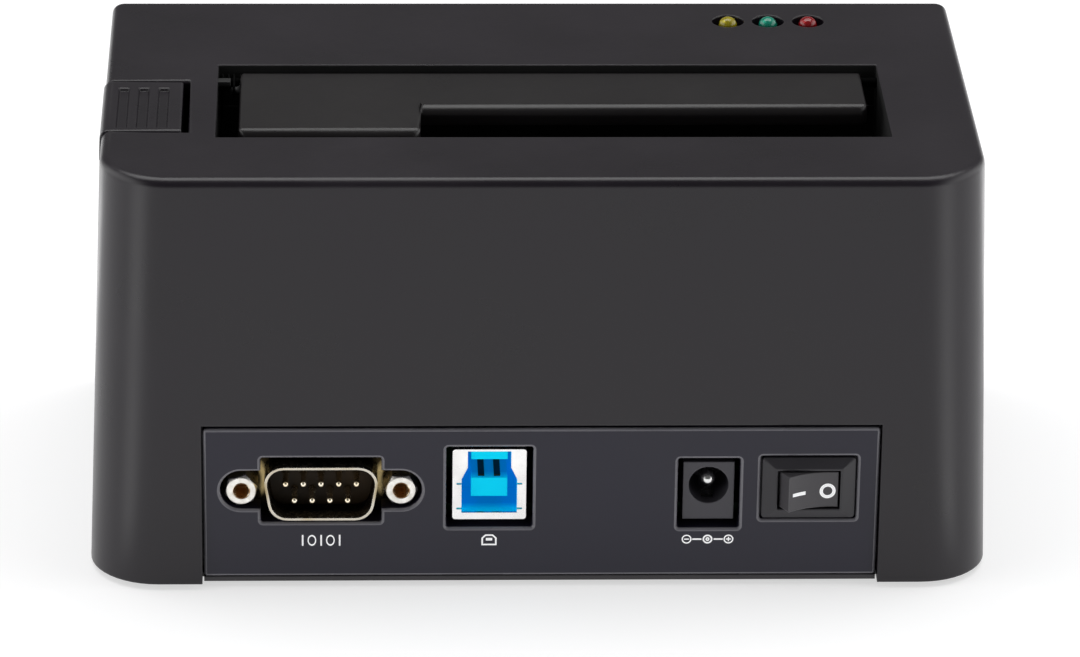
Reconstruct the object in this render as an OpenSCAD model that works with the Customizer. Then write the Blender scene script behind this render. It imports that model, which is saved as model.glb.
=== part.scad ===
// Desktop docking station for bare hard drives.
// +Z is up and -Y is the connector side, so +X is to the right for someone who looks at the connectors.
// The origin lies on the table under the middle of the housing. All sizes are in millimetres.

/* [Housing] */
// Width of the housing at its foot
body_w = 142; // [138:1:160]
// Depth of the housing at its foot
body_d = 80; // [78:1:96]
// Height of the shell from its lower edge to its top face
body_h = 68; // [66:1:84]
// How far each side leans in between foot and top
draft = 2.4; // [1.2:0.1:3]
// Thickness of the side walls
wall = 2.4; // [1.8:0.1:2.8]
// Thickness of the top face
top_wall = 2.6; // [2:0.1:3.2]
// Radius of the two upright corners on the connector side
rear_corner_r = 11; // [6:0.5:13]
// Radius of the two upright corners on the far side
front_corner_r = 2; // [1.7:0.1:4]
// Rounding of the top edge
rim_r = 1.5; // [0.5:0.1:1.6]
// Thickness of the base plate
base_t = 2.2; // [1.9:0.1:3]
// Gap between pieces that slip into one another
fit_gap = 0.25; // [0.15:0.05:0.35]

/* [Drive slot] */
// Land between the eject key and the slot
slot_left_land = 5.4; // [4.6:0.1:7]
// Land between the slot and the housing's right side, at the top
slot_right_land = 13.9; // [12:0.1:16]
// Land between the top's near edge and the slot
slot_near_land = 17.1; // [16.8:0.1:20]
// Depth of the slot from its near wall to its far wall
slot_d = 29.9; // [29.4:0.1:32]
// Wall of the slot's skirt and of the drive well
well_t = 1.8; // [1.4:0.1:2]
// How far the skirt reaches below the top face
skirt_h = 7; // [6:0.5:9]
// Thickness of the well's floor
floor_t = 2; // [1.6:0.1:3]
// Room between the main board and the well's floor
lever_room = 6.2; // [6:0.1:8]

/* [Flap] */
// Thickness of the flap
flap_t = 3; // [2.6:0.1:3.2]
// How far the flap lies below the top face
flap_drop = 0.8; // [0.5:0.1:1.2]
// Gap between the flap and the slot's left end
flap_gap_left = 3.5; // [3.2:0.1:4.5]
// Gap between the flap and the slot's right end
flap_gap_right = 2.6; // [2:0.1:4]
// Width of the cut-out that lets a small drive in, from the slot's right end
small_slot_w = 73.5; // [72:0.5:78]
// Depth of the small drive's gap, from the slot's near wall
small_slot_d = 14; // [12:0.5:16]
// Gap between the flap's wide part and the slot's near wall
tab_gap = 4.3; // [3:0.1:6]
// Rounding of the flap's near edges
flap_edge_r = 1.8; // [1:0.1:2.4]
// Rounding of the flap's corners seen from above
flap_corner_r = 1.6; // [0.8:0.1:2]
// Gap between the flap's hinge edge and the slot's far wall
flap_far_gap = 0.4; // [0.3:0.05:0.6]
// Radius of the flap's stub pins
hinge_pin_r = 0.8; // [0.6:0.1:1]
// Depth of the stub pins in the flap
hinge_pin_sink = 6; // [4:0.5:10]
// Running clearance of a pin in its bore
run_gap = 0.05; // [0.03:0.01:0.08]
// Radius of the flap spring's wire
flap_wire_r = 0.2; // [0.15:0.05:0.2]
// Turns of the flap spring
flap_turns = 2; // [1:1:2]

/* [Eject key] */
// Width of the key from the housing's side to its inner edge
key_w = 12.4; // [11.4:0.1:13]
// Length of the key along the housing's side
key_l = 20.3; // [18:0.1:24]
// Distance of the key's middle from the top's near edge
key_near = 29.95; // [29:0.05:31]
// Travel of the key
key_travel = 6; // [4:0.5:6]
// Height of the key's outer lip
key_lip_h = 5; // [4:0.5:7]
// Height of the key's head
key_h = 12; // [10:0.5:14]
// Gap round the key
key_gap = 0.4; // [0.3:0.05:0.6]
// Gap along the key's inner edge
key_inner_gap = 1.1; // [0.6:0.1:1.2]
// How far the key stands proud of the housing's side
key_proud = 0.3; // [0:0.05:0.5]
// Number of grip grooves
groove_count = 3; // [2:1:3]
// Width of a grip groove
groove_w = 1.4; // [0.8:0.1:1.6]
// Spacing of the grip grooves
groove_pitch = 3.15; // [2.6:0.05:3.2]
// Depth of a grip groove
groove_depth = 0.6; // [0.3:0.1:0.8]
// Length of a grip groove
groove_l = 16; // [12:0.1:17]
// Distance of the grip grooves from the key's near edge
groove_near = 1.6; // [1:0.1:2.4]
// Rounding of the key's near edge
key_edge_r = 0.7; // [0.3:0.1:1]
// Rounding of the notch's far edge in the housing
notch_edge_r = 0.6; // [0.3:0.1:1]
// Radius of the key's post
post_r = 2.5; // [2:0.1:2.6]
// Length of the key's spring at rest
key_spring_l = 20; // [17:0.5:22]
// Wire radius of the key's spring
key_wire_r = 0.4; // [0.3:0.05:0.45]
// Turns of the key's spring
key_turns = 6; // [5:1:7]
// Thickness of the shelf that guides the key's post
shelf_t = 3; // [2.4:0.2:4]
// Thickness of the retaining clip
clip_t = 0.7; // [0.5:0.1:1]
// Radius of the retaining clip
clip_r = 4; // [3.6:0.1:4.4]

/* [Eject lever] */
// Distance of the lever's pivot from the slot's left end
pivot_from_end = 16.8; // [15:0.2:19]
// Distance of the lifter's middle from the drive connector
lifter_from_socket = 14.2; // [12:0.2:16]
// Length of the lifter pad along the slot
lifter_l = 8; // [6:0.5:10]
// Width of the lifter pad across the slot
lifter_w = 12.8; // [11:0.1:14]
// Width of the lever
lever_w = 6; // [5:0.2:7]
// Thickness of the lever
lever_t = 2.4; // [2:0.1:2.6]
// Radius of the lever's nose under the post
nose_r = 1.6; // [1.4:0.1:1.8]
// Radius of the lever's hub
hub_r = 2.2; // [2:0.1:2.4]
// Radius of the lever's pivot pin
lever_pin_r = 1; // [0.8:0.1:1.2]
// Thickness of the lugs that hold the pivot pin
lug_t = 2; // [1.6:0.1:2.6]
// Clearance between moving pieces
move_gap = 0.4; // [0.3:0.05:0.5]

/* [Rear panel] */
// Land between the panel and the housing's side, at the foot
panel_side_land = 18.1; // [16:0.1:20]
// Height of the panel's face
panel_h = 25.6; // [24:0.2:28]
// Thickness of the panel's face
panel_t = 2.6; // [2.4:0.1:3]
// How far the panel's face lies behind the housing, at the panel's upper edge
panel_recess = 0.2; // [0.1:0.1:0.6]
// Thickness of the flange behind the housing's wall
panel_flange_t = 1.2; // [1:0.1:1.6]
// Reach of the flange past the panel's face
panel_flange = 2; // [1.5:0.1:2.5]
// Thickness of the base plate's strip under the panel
strip_t = 0.8; // [0.6:0.1:1.4]

/* [Serial plug] */
// Distance of the serial plug from the panel's left edge
serial_from_edge = 18.4; // [17.5:0.1:20]
// Height of the serial plug's middle above the main board
serial_up = 5.2; // [5.1:0.05:5.6]
// Height of the middle of the serial plug's opening above the main board
serial_cut_up = 5.6; // [5.4:0.05:5.7]
// Spacing of the two jackscrews
jack_pitch = 25; // [24.8:0.1:25.2]
// Distance across the flats of a jackscrew
jack_flats = 4.75; // [4.5:0.05:4.9]
// Radius of a jackscrew's threaded hole
jack_hole_r = 1.25; // [1.1:0.05:1.4]
// Length of a jackscrew's hexagon
jack_l = 4.6; // [4.2:0.1:5]
// Width inside the plug's shell
dshell_w = 16.92; // [16.8:0.01:17]
// Height inside the plug's shell
dshell_h = 8.36; // [8.3:0.01:8.5]
// Depth of the plug's shell
dshell_l = 5.8; // [5.4:0.1:6]
// Width of the plug's flange
flange_w = 30.8; // [30.6:0.1:31.2]
// Height of the plug's flange
flange_h = 12.5; // [12.3:0.1:12.7]
// Sheet metal of the plug
sheet_t = 0.4; // [0.35:0.05:0.5]
// Radius of a contact pin
pin_r = 0.5; // [0.45:0.05:0.55]
// Spacing of the pins in a row
pin_pitch = 2.77; // [2.74:0.01:2.8]
// Spacing of the two rows of pins
pin_row = 2.84; // [2.8:0.01:2.9]

/* [USB socket] */
// Distance of the USB socket from the panel's left edge
usb_from_edge = 44.76; // [44:0.02:46]
// Width of the socket
usb_w = 11.6; // [11.4:0.1:12.1]
// Height of the socket
usb_h = 12.2; // [12:0.1:12.4]
// Length of the socket
usb_l = 14.5; // [13:0.5:15]
// How far the socket's mouth lies behind the panel's face
usb_set = 1; // [0.3:0.1:1.3]
// Sheet metal of the socket
usb_sheet = 0.4; // [0.3:0.05:0.5]
// Width of the socket's tongue
tongue_w = 5.7; // [5.4:0.1:6]
// Height of the socket's tongue
tongue_h = 3.2; // [3:0.1:3.4]

/* [Power inlet] */
// Distance of the power inlet from the panel's right edge
dc_from_edge = 26.65; // [26:0.05:28]
// Width of the inlet's body
dc_w = 8; // [7.8:0.1:8.8]
// Height of the inlet's body
dc_h = 9.9; // [9.7:0.1:10.6]
// Length of the inlet's body
dc_l = 13; // [11.5:0.5:13.5]
// How far the inlet's mouth lies behind the panel's face
dc_set = 1; // [0.6:0.1:2.2]
// Radius of the inlet's bore
dc_bore_r = 3.15; // [3:0.05:3.2]
// Depth of the inlet's bore
dc_bore_l = 9.5; // [9:0.1:10]
// Height of the bore's middle above the main board
dc_up = 5.9; // [5.7:0.05:6.2]
// Radius of the centre pin
dc_pin_r = 1.25; // [1:0.05:1.3]

/* [Rocker switch] */
// Distance of the rocker switch from the panel's right edge
switch_from_edge = 11; // [10:0.05:12]
// Height of the switch's middle above the main board
switch_up = 5.8; // [5.6:0.1:6.2]
// Width of the switch's bezel
bezel_w = 14.6; // [14.4:0.1:15]
// Height of the switch's bezel
bezel_h = 10.4; // [10:0.1:10.8]
// Thickness of the switch's bezel
bezel_t = 1.4; // [1.2:0.1:1.5]
// Recess of the bezel's outer edge in the panel
bezel_recess = 0.1; // [0.1:0.1:0.4]
// How far the bezel rises from its outer edge to the rocker
bezel_rise = 0.9; // [0.5:0.1:1.2]
// Width of the switch's body behind the bezel
sbody_w = 12.9; // [12.6:0.1:13.4]
// Height of the switch's body behind the bezel
sbody_h = 8.4; // [8.2:0.1:8.8]
// Length of the switch's body behind the bezel
sbody_l = 9.4; // [9:0.2:10]
// Length of the rocker's face
rocker_l = 8.1; // [7.8:0.1:8.4]
// How much longer the rocker is at its root, at each end
rocker_flare = 0.7; // [0.4:0.1:0.8]
// Gap round the rocker
rocker_gap = 0.35; // [0.3:0.05:0.4]
// Height of the rocker
rocker_h = 6; // [5.8:0.1:6.2]
// Tilt of the rocker to each side
rocker_tilt = 15; // [12:1:16]
// Radius of the rocker's trunnions
trunnion_r = 0.9; // [0.8:0.05:1]

/* [Lamps] */
// Distance of the middle lamp from the housing's right side, at the top
led_from_side = 30; // [28:0.1:31]
// Distance of the lamps from the housing's far edge, at the top
led_from_edge = 9.05; // [8.5:0.05:10]
// Spacing of the lamps
led_pitch = 6.55; // [6.2:0.05:7]
// Radius of a lamp
led_r = 1.5; // [1.4:0.05:1.6]
// Radius of the hole round a lamp
led_hole_r = 2.6; // [2.4:0.1:2.9]
// How far a lamp's dome stands above the top face
led_proud = 0.7; // [0.4:0.1:1]
// Length of a lamp's straight body below its dome
led_body_l = 3.6; // [3.2:0.1:4]

/* [Boards, feet and screws] */
// Thickness of the circuit boards
board_t = 1.6; // [1.2:0.1:1.8]
// Height of the posts under the main board
standoff_h = 6.4; // [6:0.2:8]
// Radius of the posts under the main board
standoff_r = 3; // [2.6:0.1:3.2]
// Height of the feet below the housing
foot_h = 1; // [0.8:0.1:2]
// Radius of a foot
foot_r = 5; // [4:0.5:6]
// Depth of a foot's seat in the base plate
foot_sink = 0.6; // [0.4:0.1:0.8]
// Radius of the posts that take the case screws
boss_r = 3.4; // [3:0.1:3.6]
// Distance of the case screws from the housing's sides at the foot
boss_inset = 10.5; // [10:0.1:11.5]
// Radius of a case screw's shank
screw_r = 1.4; // [1.2:0.1:1.5]
// Radius of a case screw's head
screw_head_r = 2.7; // [2.5:0.1:2.8]
// Height of a screw's head
screw_head_h = 1.1; // [1:0.1:1.3]
// Radius of a small screw's shank
small_screw_r = 1; // [0.8:0.1:1.1]
// Radius of a small screw's head
small_head_r = 2; // [1.8:0.1:2.2]

/* [Hidden] */
$fn = 48;
skin = 0.01;
cut = 1;

// Levels, from the table upward
z_low = foot_h;
z_top = z_low + body_h;
z_roof = z_top - top_wall;
z_base = z_low + base_t;
z_board_low = z_base + standoff_h;
z_board = z_board_low + board_t;
z_floor_low = z_board + lever_room;
z_floor = z_floor_low + floor_t;
z_skirt = z_top - skirt_h;

// The housing's drafted sides at a given height
function lean(z) = draft * (z - z_low) / body_h;
function side_x(z) = body_w / 2 - lean(z);
function face_y(z) = body_d / 2 - lean(z);

// The slot's walls, between the eject key and the housing's right side
key_x0 = -side_x(z_top);
key_x1 = key_x0 + key_w;
slot_x0 = key_x1 + slot_left_land;
slot_x1 = side_x(z_top) - slot_right_land;
slot_x = (slot_x0 + slot_x1) / 2;
slot_w = slot_x1 - slot_x0;
slot_y0 = slot_near_land - face_y(z_top);
slot_y1 = slot_y0 + slot_d;

// The flap and its hinge line
flap_z1 = z_top - flap_drop;
flap_z0 = flap_z1 - flap_t;
flap_x0 = slot_x0 + flap_gap_left;
flap_x1 = slot_x1 - flap_gap_right;
hinge_r = flap_t / 2;
hinge_y = slot_y1 - flap_far_gap - hinge_r;
hinge_z = flap_z0 + hinge_r;
flap_lip_y = slot_y0 + small_slot_d;
flap_tab_y = slot_y0 + tab_gap;
flap_cut_x = slot_x1 - small_slot_w;
stop_l = 1.6;
stop_clear = 1.2;
stop_y1 = hinge_y - hinge_r - stop_clear;
stop_peg_r = 0.7;
stop_reach = 2;
stop_drop = 0.4;
peg_sink = 1;
coil_r = hinge_pin_r + 2.5 * flap_wire_r;
coil_step = 0.9;
coil_side_gap = 0.3;
coil_x0 = slot_x0 + flap_wire_r + coil_side_gap;
coil_leg = 7;

// The eject key, its post, spring and clip
key_y = key_near - face_y(z_top);
key_y0 = key_y - key_l / 2;
key_y1 = key_y + key_l / 2;
key_z0 = z_top - key_h;
key_lip_z = z_top - key_lip_h;
key_notch_z = key_lip_z - key_travel - key_gap;
key_wall = 2;
key_roof = 3;
key_body_x0 = -side_x(key_z0) + wall + key_proud + move_gap;
post_x = (key_body_x0 + key_x1) / 2;
post_y = key_y;
spring_room = 0.5;
spring_r = post_r + key_wire_r + spring_room;
seat_rim = 0.4;
key_seat = spring_r + key_wire_r + seat_rim;
key_pocket = key_l / 2 - key_wall - key_seat;
shelf_z1 = key_z0 - key_spring_l;
shelf_z0 = shelf_z1 - shelf_t;
shelf_rim = 0.6;
shelf_half = clip_r + shelf_rim;
clip_z1 = shelf_z0 - fit_gap;
clip_z0 = clip_z1 - clip_t;
clip_groove = 0.5;
clip_groove_r = post_r - clip_groove;

// The drive connector
sata_l = 42;
sata_w = 5.2;
sata_proud = 2.6;
sata_h = lever_room + floor_t + sata_proud;
sata_from_end = 28.5;
sata_x = slot_x1 - sata_from_end;
sata_from_wall = 4.2;
sata_y = slot_y0 + sata_from_wall;
sata_gap = 0.5;
sata_slot_w = 1.6;
sata_slot_l = 4.6;
sata_pitch = 1.27;
sata_signal_off = 10.8;
sata_power_off = 6.4;
sata_signal_x = sata_x - sata_signal_off;
sata_power_x = sata_x + sata_power_off;

// The eject lever, its pivot and its lifter
pivot_x = slot_x0 + pivot_from_end;
pivot_low = 0.3;
pivot_z = z_board + lever_room / 2 - pivot_low;
lifter_x = sata_x - sata_l / 2 - lifter_from_socket;
lifter_y1 = post_y + lever_w / 2;
lifter_y0 = lifter_y1 - lifter_w;
arm_z0 = pivot_z - lever_t / 2;
arm_z1 = pivot_z + lever_t / 2;
nose_proud = 0.4;
nose_z = arm_z1 - nose_r + nose_proud;
post_z0 = nose_z + nose_r + move_gap;
lug_gap = move_gap;
lug_y0 = post_y - lever_w / 2 - lug_gap;
lug_y1 = post_y + lever_w / 2 + lug_gap;
lug_z0 = pivot_z - hub_r;

// The rear panel and the ports in it
panel_w = body_w - 2 * panel_side_land;
serial_x = serial_from_edge - panel_w / 2;
usb_x = usb_from_edge - panel_w / 2;
dc_x = panel_w / 2 - dc_from_edge;
switch_x = panel_w / 2 - switch_from_edge;
panel_z0 = z_low + strip_t;
panel_z1 = panel_z0 + panel_h;
panel_top_gap = 0.6;
panel_y = -face_y(panel_z1) + panel_recess;
panel_y1 = panel_y + panel_t;
panel_y2 = panel_y1 + panel_flange_t;
board_set = 3;
board_y0 = panel_y2 + board_set;
serial_z = z_board + serial_up;
serial_cut_z = z_board + serial_cut_up;
rim_proud = 0.5;
rim_y = panel_y - rim_proud;
pin_set = 0.3;
flange_y = rim_y + dshell_l;
usb_y0 = panel_y + usb_set;
usb_z1 = z_board + usb_h;
dc_y0 = panel_y + dc_set;
dc_z1 = z_board + dc_h;
dc_z = z_board + dc_up;
switch_z = z_board + switch_up;
bezel_y0 = panel_y + bezel_recess;
bezel_y1 = bezel_y0 + bezel_t;
bezel_cut = 0.3;
bezel_r = 0.5;
sbody_y1 = bezel_y1 + sbody_l;

// The rocker in its own neutral plan: u along the panel, v out of it
rocker_end_v = 2.6;
rocker_mid_v = 1.9;
rocker_hub_r = 2.3;
rocker_foot = 0.8;
rocker_root = rocker_l / 2 + rocker_flare;
rocker_open_w = 2 * max(rocker_l / 2 * cos(rocker_tilt) + rocker_end_v * sin(rocker_tilt),
  rocker_root * cos(rocker_tilt)) + 2 * rocker_gap;
rocker_open_h = rocker_h + 2 * rocker_gap;
bezel_front = bezel_y0 - bezel_rise;
rocker_set = 0.25;
rocker_y = bezel_front + rocker_set + rocker_end_v * cos(rocker_tilt) - rocker_l / 2 * sin(rocker_tilt);
rocker_dip = rocker_root * sin(rocker_tilt);
rocker_room = 0.6;
switch_well_y = rocker_y + max(rocker_dip, rocker_hub_r) + rocker_room;

// Posts, feet and boards
boss_x = body_w / 2 - boss_inset;
boss_y = body_d / 2 - boss_inset;
board_side_gap = 0.6;
board_far_lap = 1.2;
board_x = boss_x - boss_r - board_side_gap;
board_y1 = boss_y - boss_r + board_far_lap;
stand_in = 4;
stand_far_in = 5;
stand_x = board_x - stand_in;
stand_y0 = board_y0 + stand_in;
stand_y1 = board_y1 - stand_far_in;
foot_gap = 1;
foot_x = boss_x - boss_r - foot_r - foot_gap;
foot_y = boss_y;
ear_r = 3.2;
ear_in = 12;
ear_x = slot_w / 2 - ear_in;
ear_t = 2.5;
ear_lap = 0.4;
ear_y0 = slot_y0 - well_t - ear_r + ear_lap;
ear_y1 = slot_y1 + well_t + ear_r - ear_lap;
small_screw_l = 5.5;

// The lamps and their board
led_x = side_x(z_top) - led_from_side;
led_y = face_y(z_top) - led_from_edge;
led_dome_z = z_top + led_proud - led_r;
led_low = led_dome_z - led_body_l;
led_collar = 0.35;
led_flange_r = led_r + led_collar;
led_flange_t = 0.9;
led_lead_l = 1.2;
led_board_z = led_low - led_lead_l;
led_board_end = 8.2;
led_board_half = led_pitch + led_board_end;
ear_clear = 1;
ear_far_x = led_x - led_board_half - ear_clear - ear_r - slot_x;
led_board_d = 9;
led_screw_in = 3;
led_screw_x = led_board_half - led_screw_in;
led_boss_r = 2.5;
cable_w = 8;
cable_t = 0.9;
cable_off = 2.4;
cable_y = led_y - cable_off;
cable_bow = 3;
header_h = 4;
header_d = 4;

// Small electronic parts
chip_t = 1.4;
cap_r = 3.5;
cap_h = 9;
coil_side = 7;
coil_h = 4.2;

// Colours
shell_grey = [0.13, 0.125, 0.13];
panel_grey = [0.12, 0.12, 0.15];
steel = [0.72, 0.72, 0.7];
gold = [0.83, 0.66, 0.25];
black = [0.05, 0.05, 0.05];
board_green = [0.05, 0.28, 0.14];
port_blue = [0.03, 0.6, 0.9];

// A box given by its low and high corners
module box(x0, x1, y0, y1, z0, z1) {
  translate([x0, y0, z0]) cube([x1 - x0, y1 - y0, z1 - z0]);
}

// A flat outline in X and Z, drawn out along Y
module along_y(y0, y1) {
  translate([0, y1, 0]) rotate([90, 0, 0]) linear_extrude(y1 - y0) children();
}

// A flat outline in Y and Z, drawn out along X
module along_x(x0, x1) {
  translate([x0, 0, 0]) rotate([90, 0, 90]) linear_extrude(x1 - x0) children();
}

// A round bar along X, along Y
module bar_x(x0, x1, y, z, r) {
  translate([x0, y, z]) rotate([0, 90, 0]) cylinder(r = r, h = x1 - x0);
}
module bar_y(y0, y1, x, z, r) {
  translate([x, y0, z]) rotate([-90, 0, 0]) cylinder(r = r, h = y1 - y0);
}

// What comes off an upper edge along X, at height z, to round it; the piece lies on the edge's +Y side
module round_off_x(x0, x1, y, z, r) difference() {
  box(x0, x1, y - cut, y + r, z - r, z + cut);
  bar_x(x0 - cut, x1 + cut, y + r, z - r, r);
}

// Points of an arc, and of a rectangle with round corners
function arc(x, y, r, a0, a1, n) =
  [for (i = [0 : n]) let (a = a0 + (a1 - a0) * i / n) [x + r * cos(a), y + r * sin(a)]];
function round_rect(x0, x1, y0, y1, r) = concat(
  arc(x1 - r, y0 + r, r, -90, 0, 6), arc(x1 - r, y1 - r, r, 0, 90, 6),
  arc(x0 + r, y1 - r, r, 90, 180, 6), arc(x0 + r, y0 + r, r, 180, 270, 6));

// The D outline of the serial plug, wide side up, drawn in by an inset
d_slope = 10;
d_corner_r = 2.6;
function d_outline(inset) = let (
  r = d_corner_r - inset,
  up_x = dshell_w / 2 - d_corner_r,
  low_x = up_x - (dshell_h - 2 * d_corner_r) * tan(d_slope),
  z = dshell_h / 2 - d_corner_r) concat(
  arc(low_x, -z, r, -90, -d_slope, 6), arc(up_x, z, r, -d_slope, 90, 6),
  arc(-up_x, z, r, 90, 180 + d_slope, 6), arc(-low_x, -z, r, 180 + d_slope, 270, 6));

// A round wire swept along points; ref is a direction that the path never runs along
function unit(v) = v / norm(v);
function way(p, i) = unit(p[min(i + 1, len(p) - 1)] - p[max(i - 1, 0)]);
module wire(p, r, ref, sides = 6) {
  n = len(p);
  rings = [for (i = [0 : n - 1]) let (t = way(p, i), a = unit(ref - (ref * t) * t), b = cross(t, a))
    for (k = [0 : sides - 1]) p[i] + r * (cos(360 * k / sides) * a + sin(360 * k / sides) * b)];
  skin_faces = [for (i = [0 : n - 2]) for (k = [0 : sides - 1])
    let (m = (k + 1) % sides, a = i * sides + k, b = i * sides + m) for (f = [0, 1])
      f == 0 ? [a, a + sides, b + sides] : [a, b + sides, b]];
  ends = [for (k = [1 : sides - 2]) for (f = [0, 1])
    f == 0 ? [0, k, k + 1] : [(n - 1) * sides, (n - 1) * sides + k + 1, (n - 1) * sides + k]];
  polyhedron(rings, concat(skin_faces, ends));
}

// Least gap of a coiled wire to itself, between points that are half a turn or more apart
function least_gap(p, r, half_turn) = min([for (i = [0 : len(p) - 1 - half_turn])
  for (j = [i + half_turn : len(p) - 1]) norm(p[i] - p[j]) - 2 * r]);

// The housing's outer form, or its inside, with drafted sides and round upright corners
module rim_corner(r, rim) {
  rotate_extrude() intersection() {
    square([r, rim]);
    translate([r - rim, 0]) circle(r = rim);
  }
}
module drafted_form(inset, z0, z1, r_rear, r_front, rim) {
  hull() for (sx = [-1, 1]) for (sy = [-1, 1]) {
    r = sy < 0 ? r_rear : r_front;
    translate([sx * (side_x(z0) - inset - r), sy * (face_y(z0) - inset - r), z0])
      cylinder(r = r, h = skin);
    translate([sx * (side_x(z1) - inset - r), sy * (face_y(z1) - inset - r), z1 - rim])
      rim_corner(r, rim);
  }
}
least_corner_r = 0.8;
inner_rim_r = 0.4;
inner_front_r = max(front_corner_r - wall, least_corner_r);
inner_rear_r = rear_corner_r - wall;
module outer_form() drafted_form(0, z_low, z_top, rear_corner_r, front_corner_r, rim_r);
module inner_form() drafted_form(wall, z_low - cut, z_roof, inner_rear_r, inner_front_r,
  inner_rim_r);

// Places of the repeated fastenings
module at_bosses() for (sx = [-1, 1]) for (sy = [-1, 1])
  translate([sx * boss_x, sy * boss_y, 0]) children();
module at_ears() for (sx = [-1, 1]) for (p = [[ear_x, ear_y0], [ear_far_x, ear_y1]])
  translate([slot_x + sx * p[0], p[1], 0]) children();
module at_stands() for (sx = [-1, 1]) for (y = [stand_y0, stand_y1])
  translate([sx * stand_x, y, 0]) children();
module at_led_screws() for (s = [-1, 1]) translate([led_x + s * led_screw_x, led_y, 0]) children();
module at_feet() for (sx = [-1, 1]) for (sy = [-1, 1])
  translate([sx * foot_x, sy * foot_y, 0]) children();

// The housing: drafted walls, the slot with its skirt, and the posts that hang from the roof
ear_z1 = z_skirt;
ear_z0 = ear_z1 - ear_t;
led_boss_z = led_board_z;
boss_hole_l = 10;
led_boss_hole_l = 2.6;
module upper_shell() color(shell_grey) {
  difference() {
    union() {
      difference() {
        outer_form();
        inner_form();
      }
      box(slot_x0 - well_t, slot_x1 + well_t, slot_y0 - well_t, slot_y1 + well_t, z_skirt, z_roof + skin);
      at_bosses() translate([0, 0, z_base]) cylinder(r = boss_r, h = z_roof + skin - z_base);
      at_ears() translate([0, 0, ear_z1]) cylinder(r = ear_r, h = z_roof + skin - ear_z1);
      at_led_screws() translate([0, 0, led_boss_z])
        cylinder(r = led_boss_r, h = z_roof + skin - led_boss_z);
    }
    box(slot_x0, slot_x1, slot_y0, slot_y1, z_skirt - cut, z_top + cut);
    box(-body_w, key_x1 + key_inner_gap, key_y0 - key_gap, key_y1 + key_gap, key_notch_z, z_top + cut);
    round_off_x(-body_w, key_x1 + key_inner_gap, key_y1 + key_gap, z_top, notch_edge_r);
    for (i = [-1 : 1]) translate([led_x + i * led_pitch, led_y, z_roof - cut])
      cylinder(r = led_hole_r, h = top_wall + 2 * cut);
    box(-panel_w / 2 - fit_gap, panel_w / 2 + fit_gap, -body_d, panel_y1, z_low - cut,
      panel_z1 + panel_top_gap);
    bar_x(slot_x0 - well_t - cut, slot_x0 + cut, hinge_y, hinge_z, hinge_pin_r + run_gap);
    bar_x(slot_x1 - cut, slot_x1 + well_t + cut, hinge_y, hinge_z, hinge_pin_r + run_gap);
    at_bosses() translate([0, 0, z_base - cut]) cylinder(r = screw_r, h = boss_hole_l + cut);
    at_ears() translate([0, 0, ear_z1 - cut]) cylinder(r = small_screw_r, h = small_screw_l + cut);
    at_led_screws() translate([0, 0, led_boss_z - cut])
      cylinder(r = small_screw_r, h = led_boss_hole_l + cut);
  }
  box(slot_x0 - skin, slot_x0 + stop_reach, stop_y1 - stop_l, stop_y1,
    hinge_z + stop_peg_r + move_gap, z_top - stop_drop);
}

// The floor of the housing, with posts for the board and seats for the feet
base_hx = side_x(z_base) - wall - fit_gap;
base_hy = face_y(z_base) - wall - fit_gap;
function base_outline() = concat(
  arc(base_hx - inner_rear_r, inner_rear_r - base_hy, inner_rear_r, -90, 0, 8),
  arc(base_hx - inner_front_r, base_hy - inner_front_r, inner_front_r, 0, 90, 4),
  arc(inner_front_r - base_hx, base_hy - inner_front_r, inner_front_r, 90, 180, 4),
  arc(inner_rear_r - base_hx, inner_rear_r - base_hy, inner_rear_r, 180, 270, 8));
module base_plate() color(shell_grey) difference() {
  union() {
    difference() {
      translate([0, 0, z_low]) linear_extrude(base_t) polygon(base_outline());
      box(-panel_w / 2 - fit_gap, panel_w / 2 + fit_gap, -body_d, panel_y1 + fit_gap,
        panel_z0, z_base + cut);
    }
    box(-panel_w / 2, panel_w / 2, panel_y, panel_y1 + fit_gap, z_low, panel_z0);
    at_stands() translate([0, 0, z_base - skin]) cylinder(r = standoff_r, h = standoff_h + skin);
  }
  at_bosses() {
    translate([0, 0, z_low - cut]) cylinder(r = screw_r + fit_gap, h = base_t + 2 * cut);
    translate([0, 0, z_low - cut]) cylinder(r = screw_head_r + fit_gap, h = screw_head_h + cut);
  }
  at_feet() translate([0, 0, z_low - cut]) cylinder(r = foot_r, h = foot_sink + cut);
  at_stands() translate([0, 0, z_board_low - small_screw_l])
    cylinder(r = small_screw_r, h = small_screw_l + cut);
}

module rubber_feet() color(black) at_feet() cylinder(r = foot_r, h = foot_h + foot_sink);

// Self-tapping screws: head, shank and a cross recess in the head, as shares of the head's size
cross_l = 0.6;
cross_w = 0.14;
cross_deep = 0.6;
module screw(head_r, head_h, shank_r, shank_l) {
  difference() {
    union() {
      cylinder(r = head_r, h = head_h);
      cylinder(r = shank_r, h = head_h + shank_l);
    }
    for (a = [0, 90]) rotate([0, 0, a])
      box(-head_r * cross_l, head_r * cross_l, -head_r * cross_w, head_r * cross_w,
        -cut, head_h * cross_deep);
  }
}
case_screw_grip = 8;
well_screw_grip = 4.5;
board_screw_grip = 4.5;
led_screw_grip = 2.2;
module case_screws() color(steel) at_bosses()
  translate([0, 0, z_low])
    screw(screw_head_r, screw_head_h, screw_r, base_t - screw_head_h + case_screw_grip);
module well_screws() color(steel) at_ears()
  translate([0, 0, ear_z0 - screw_head_h])
    screw(small_head_r, screw_head_h, small_screw_r, ear_t + well_screw_grip);
module board_screws() color(steel) at_stands()
  translate([0, 0, z_board + screw_head_h]) mirror([0, 0, 1])
    screw(small_head_r, screw_head_h, small_screw_r, board_t + board_screw_grip);
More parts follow.
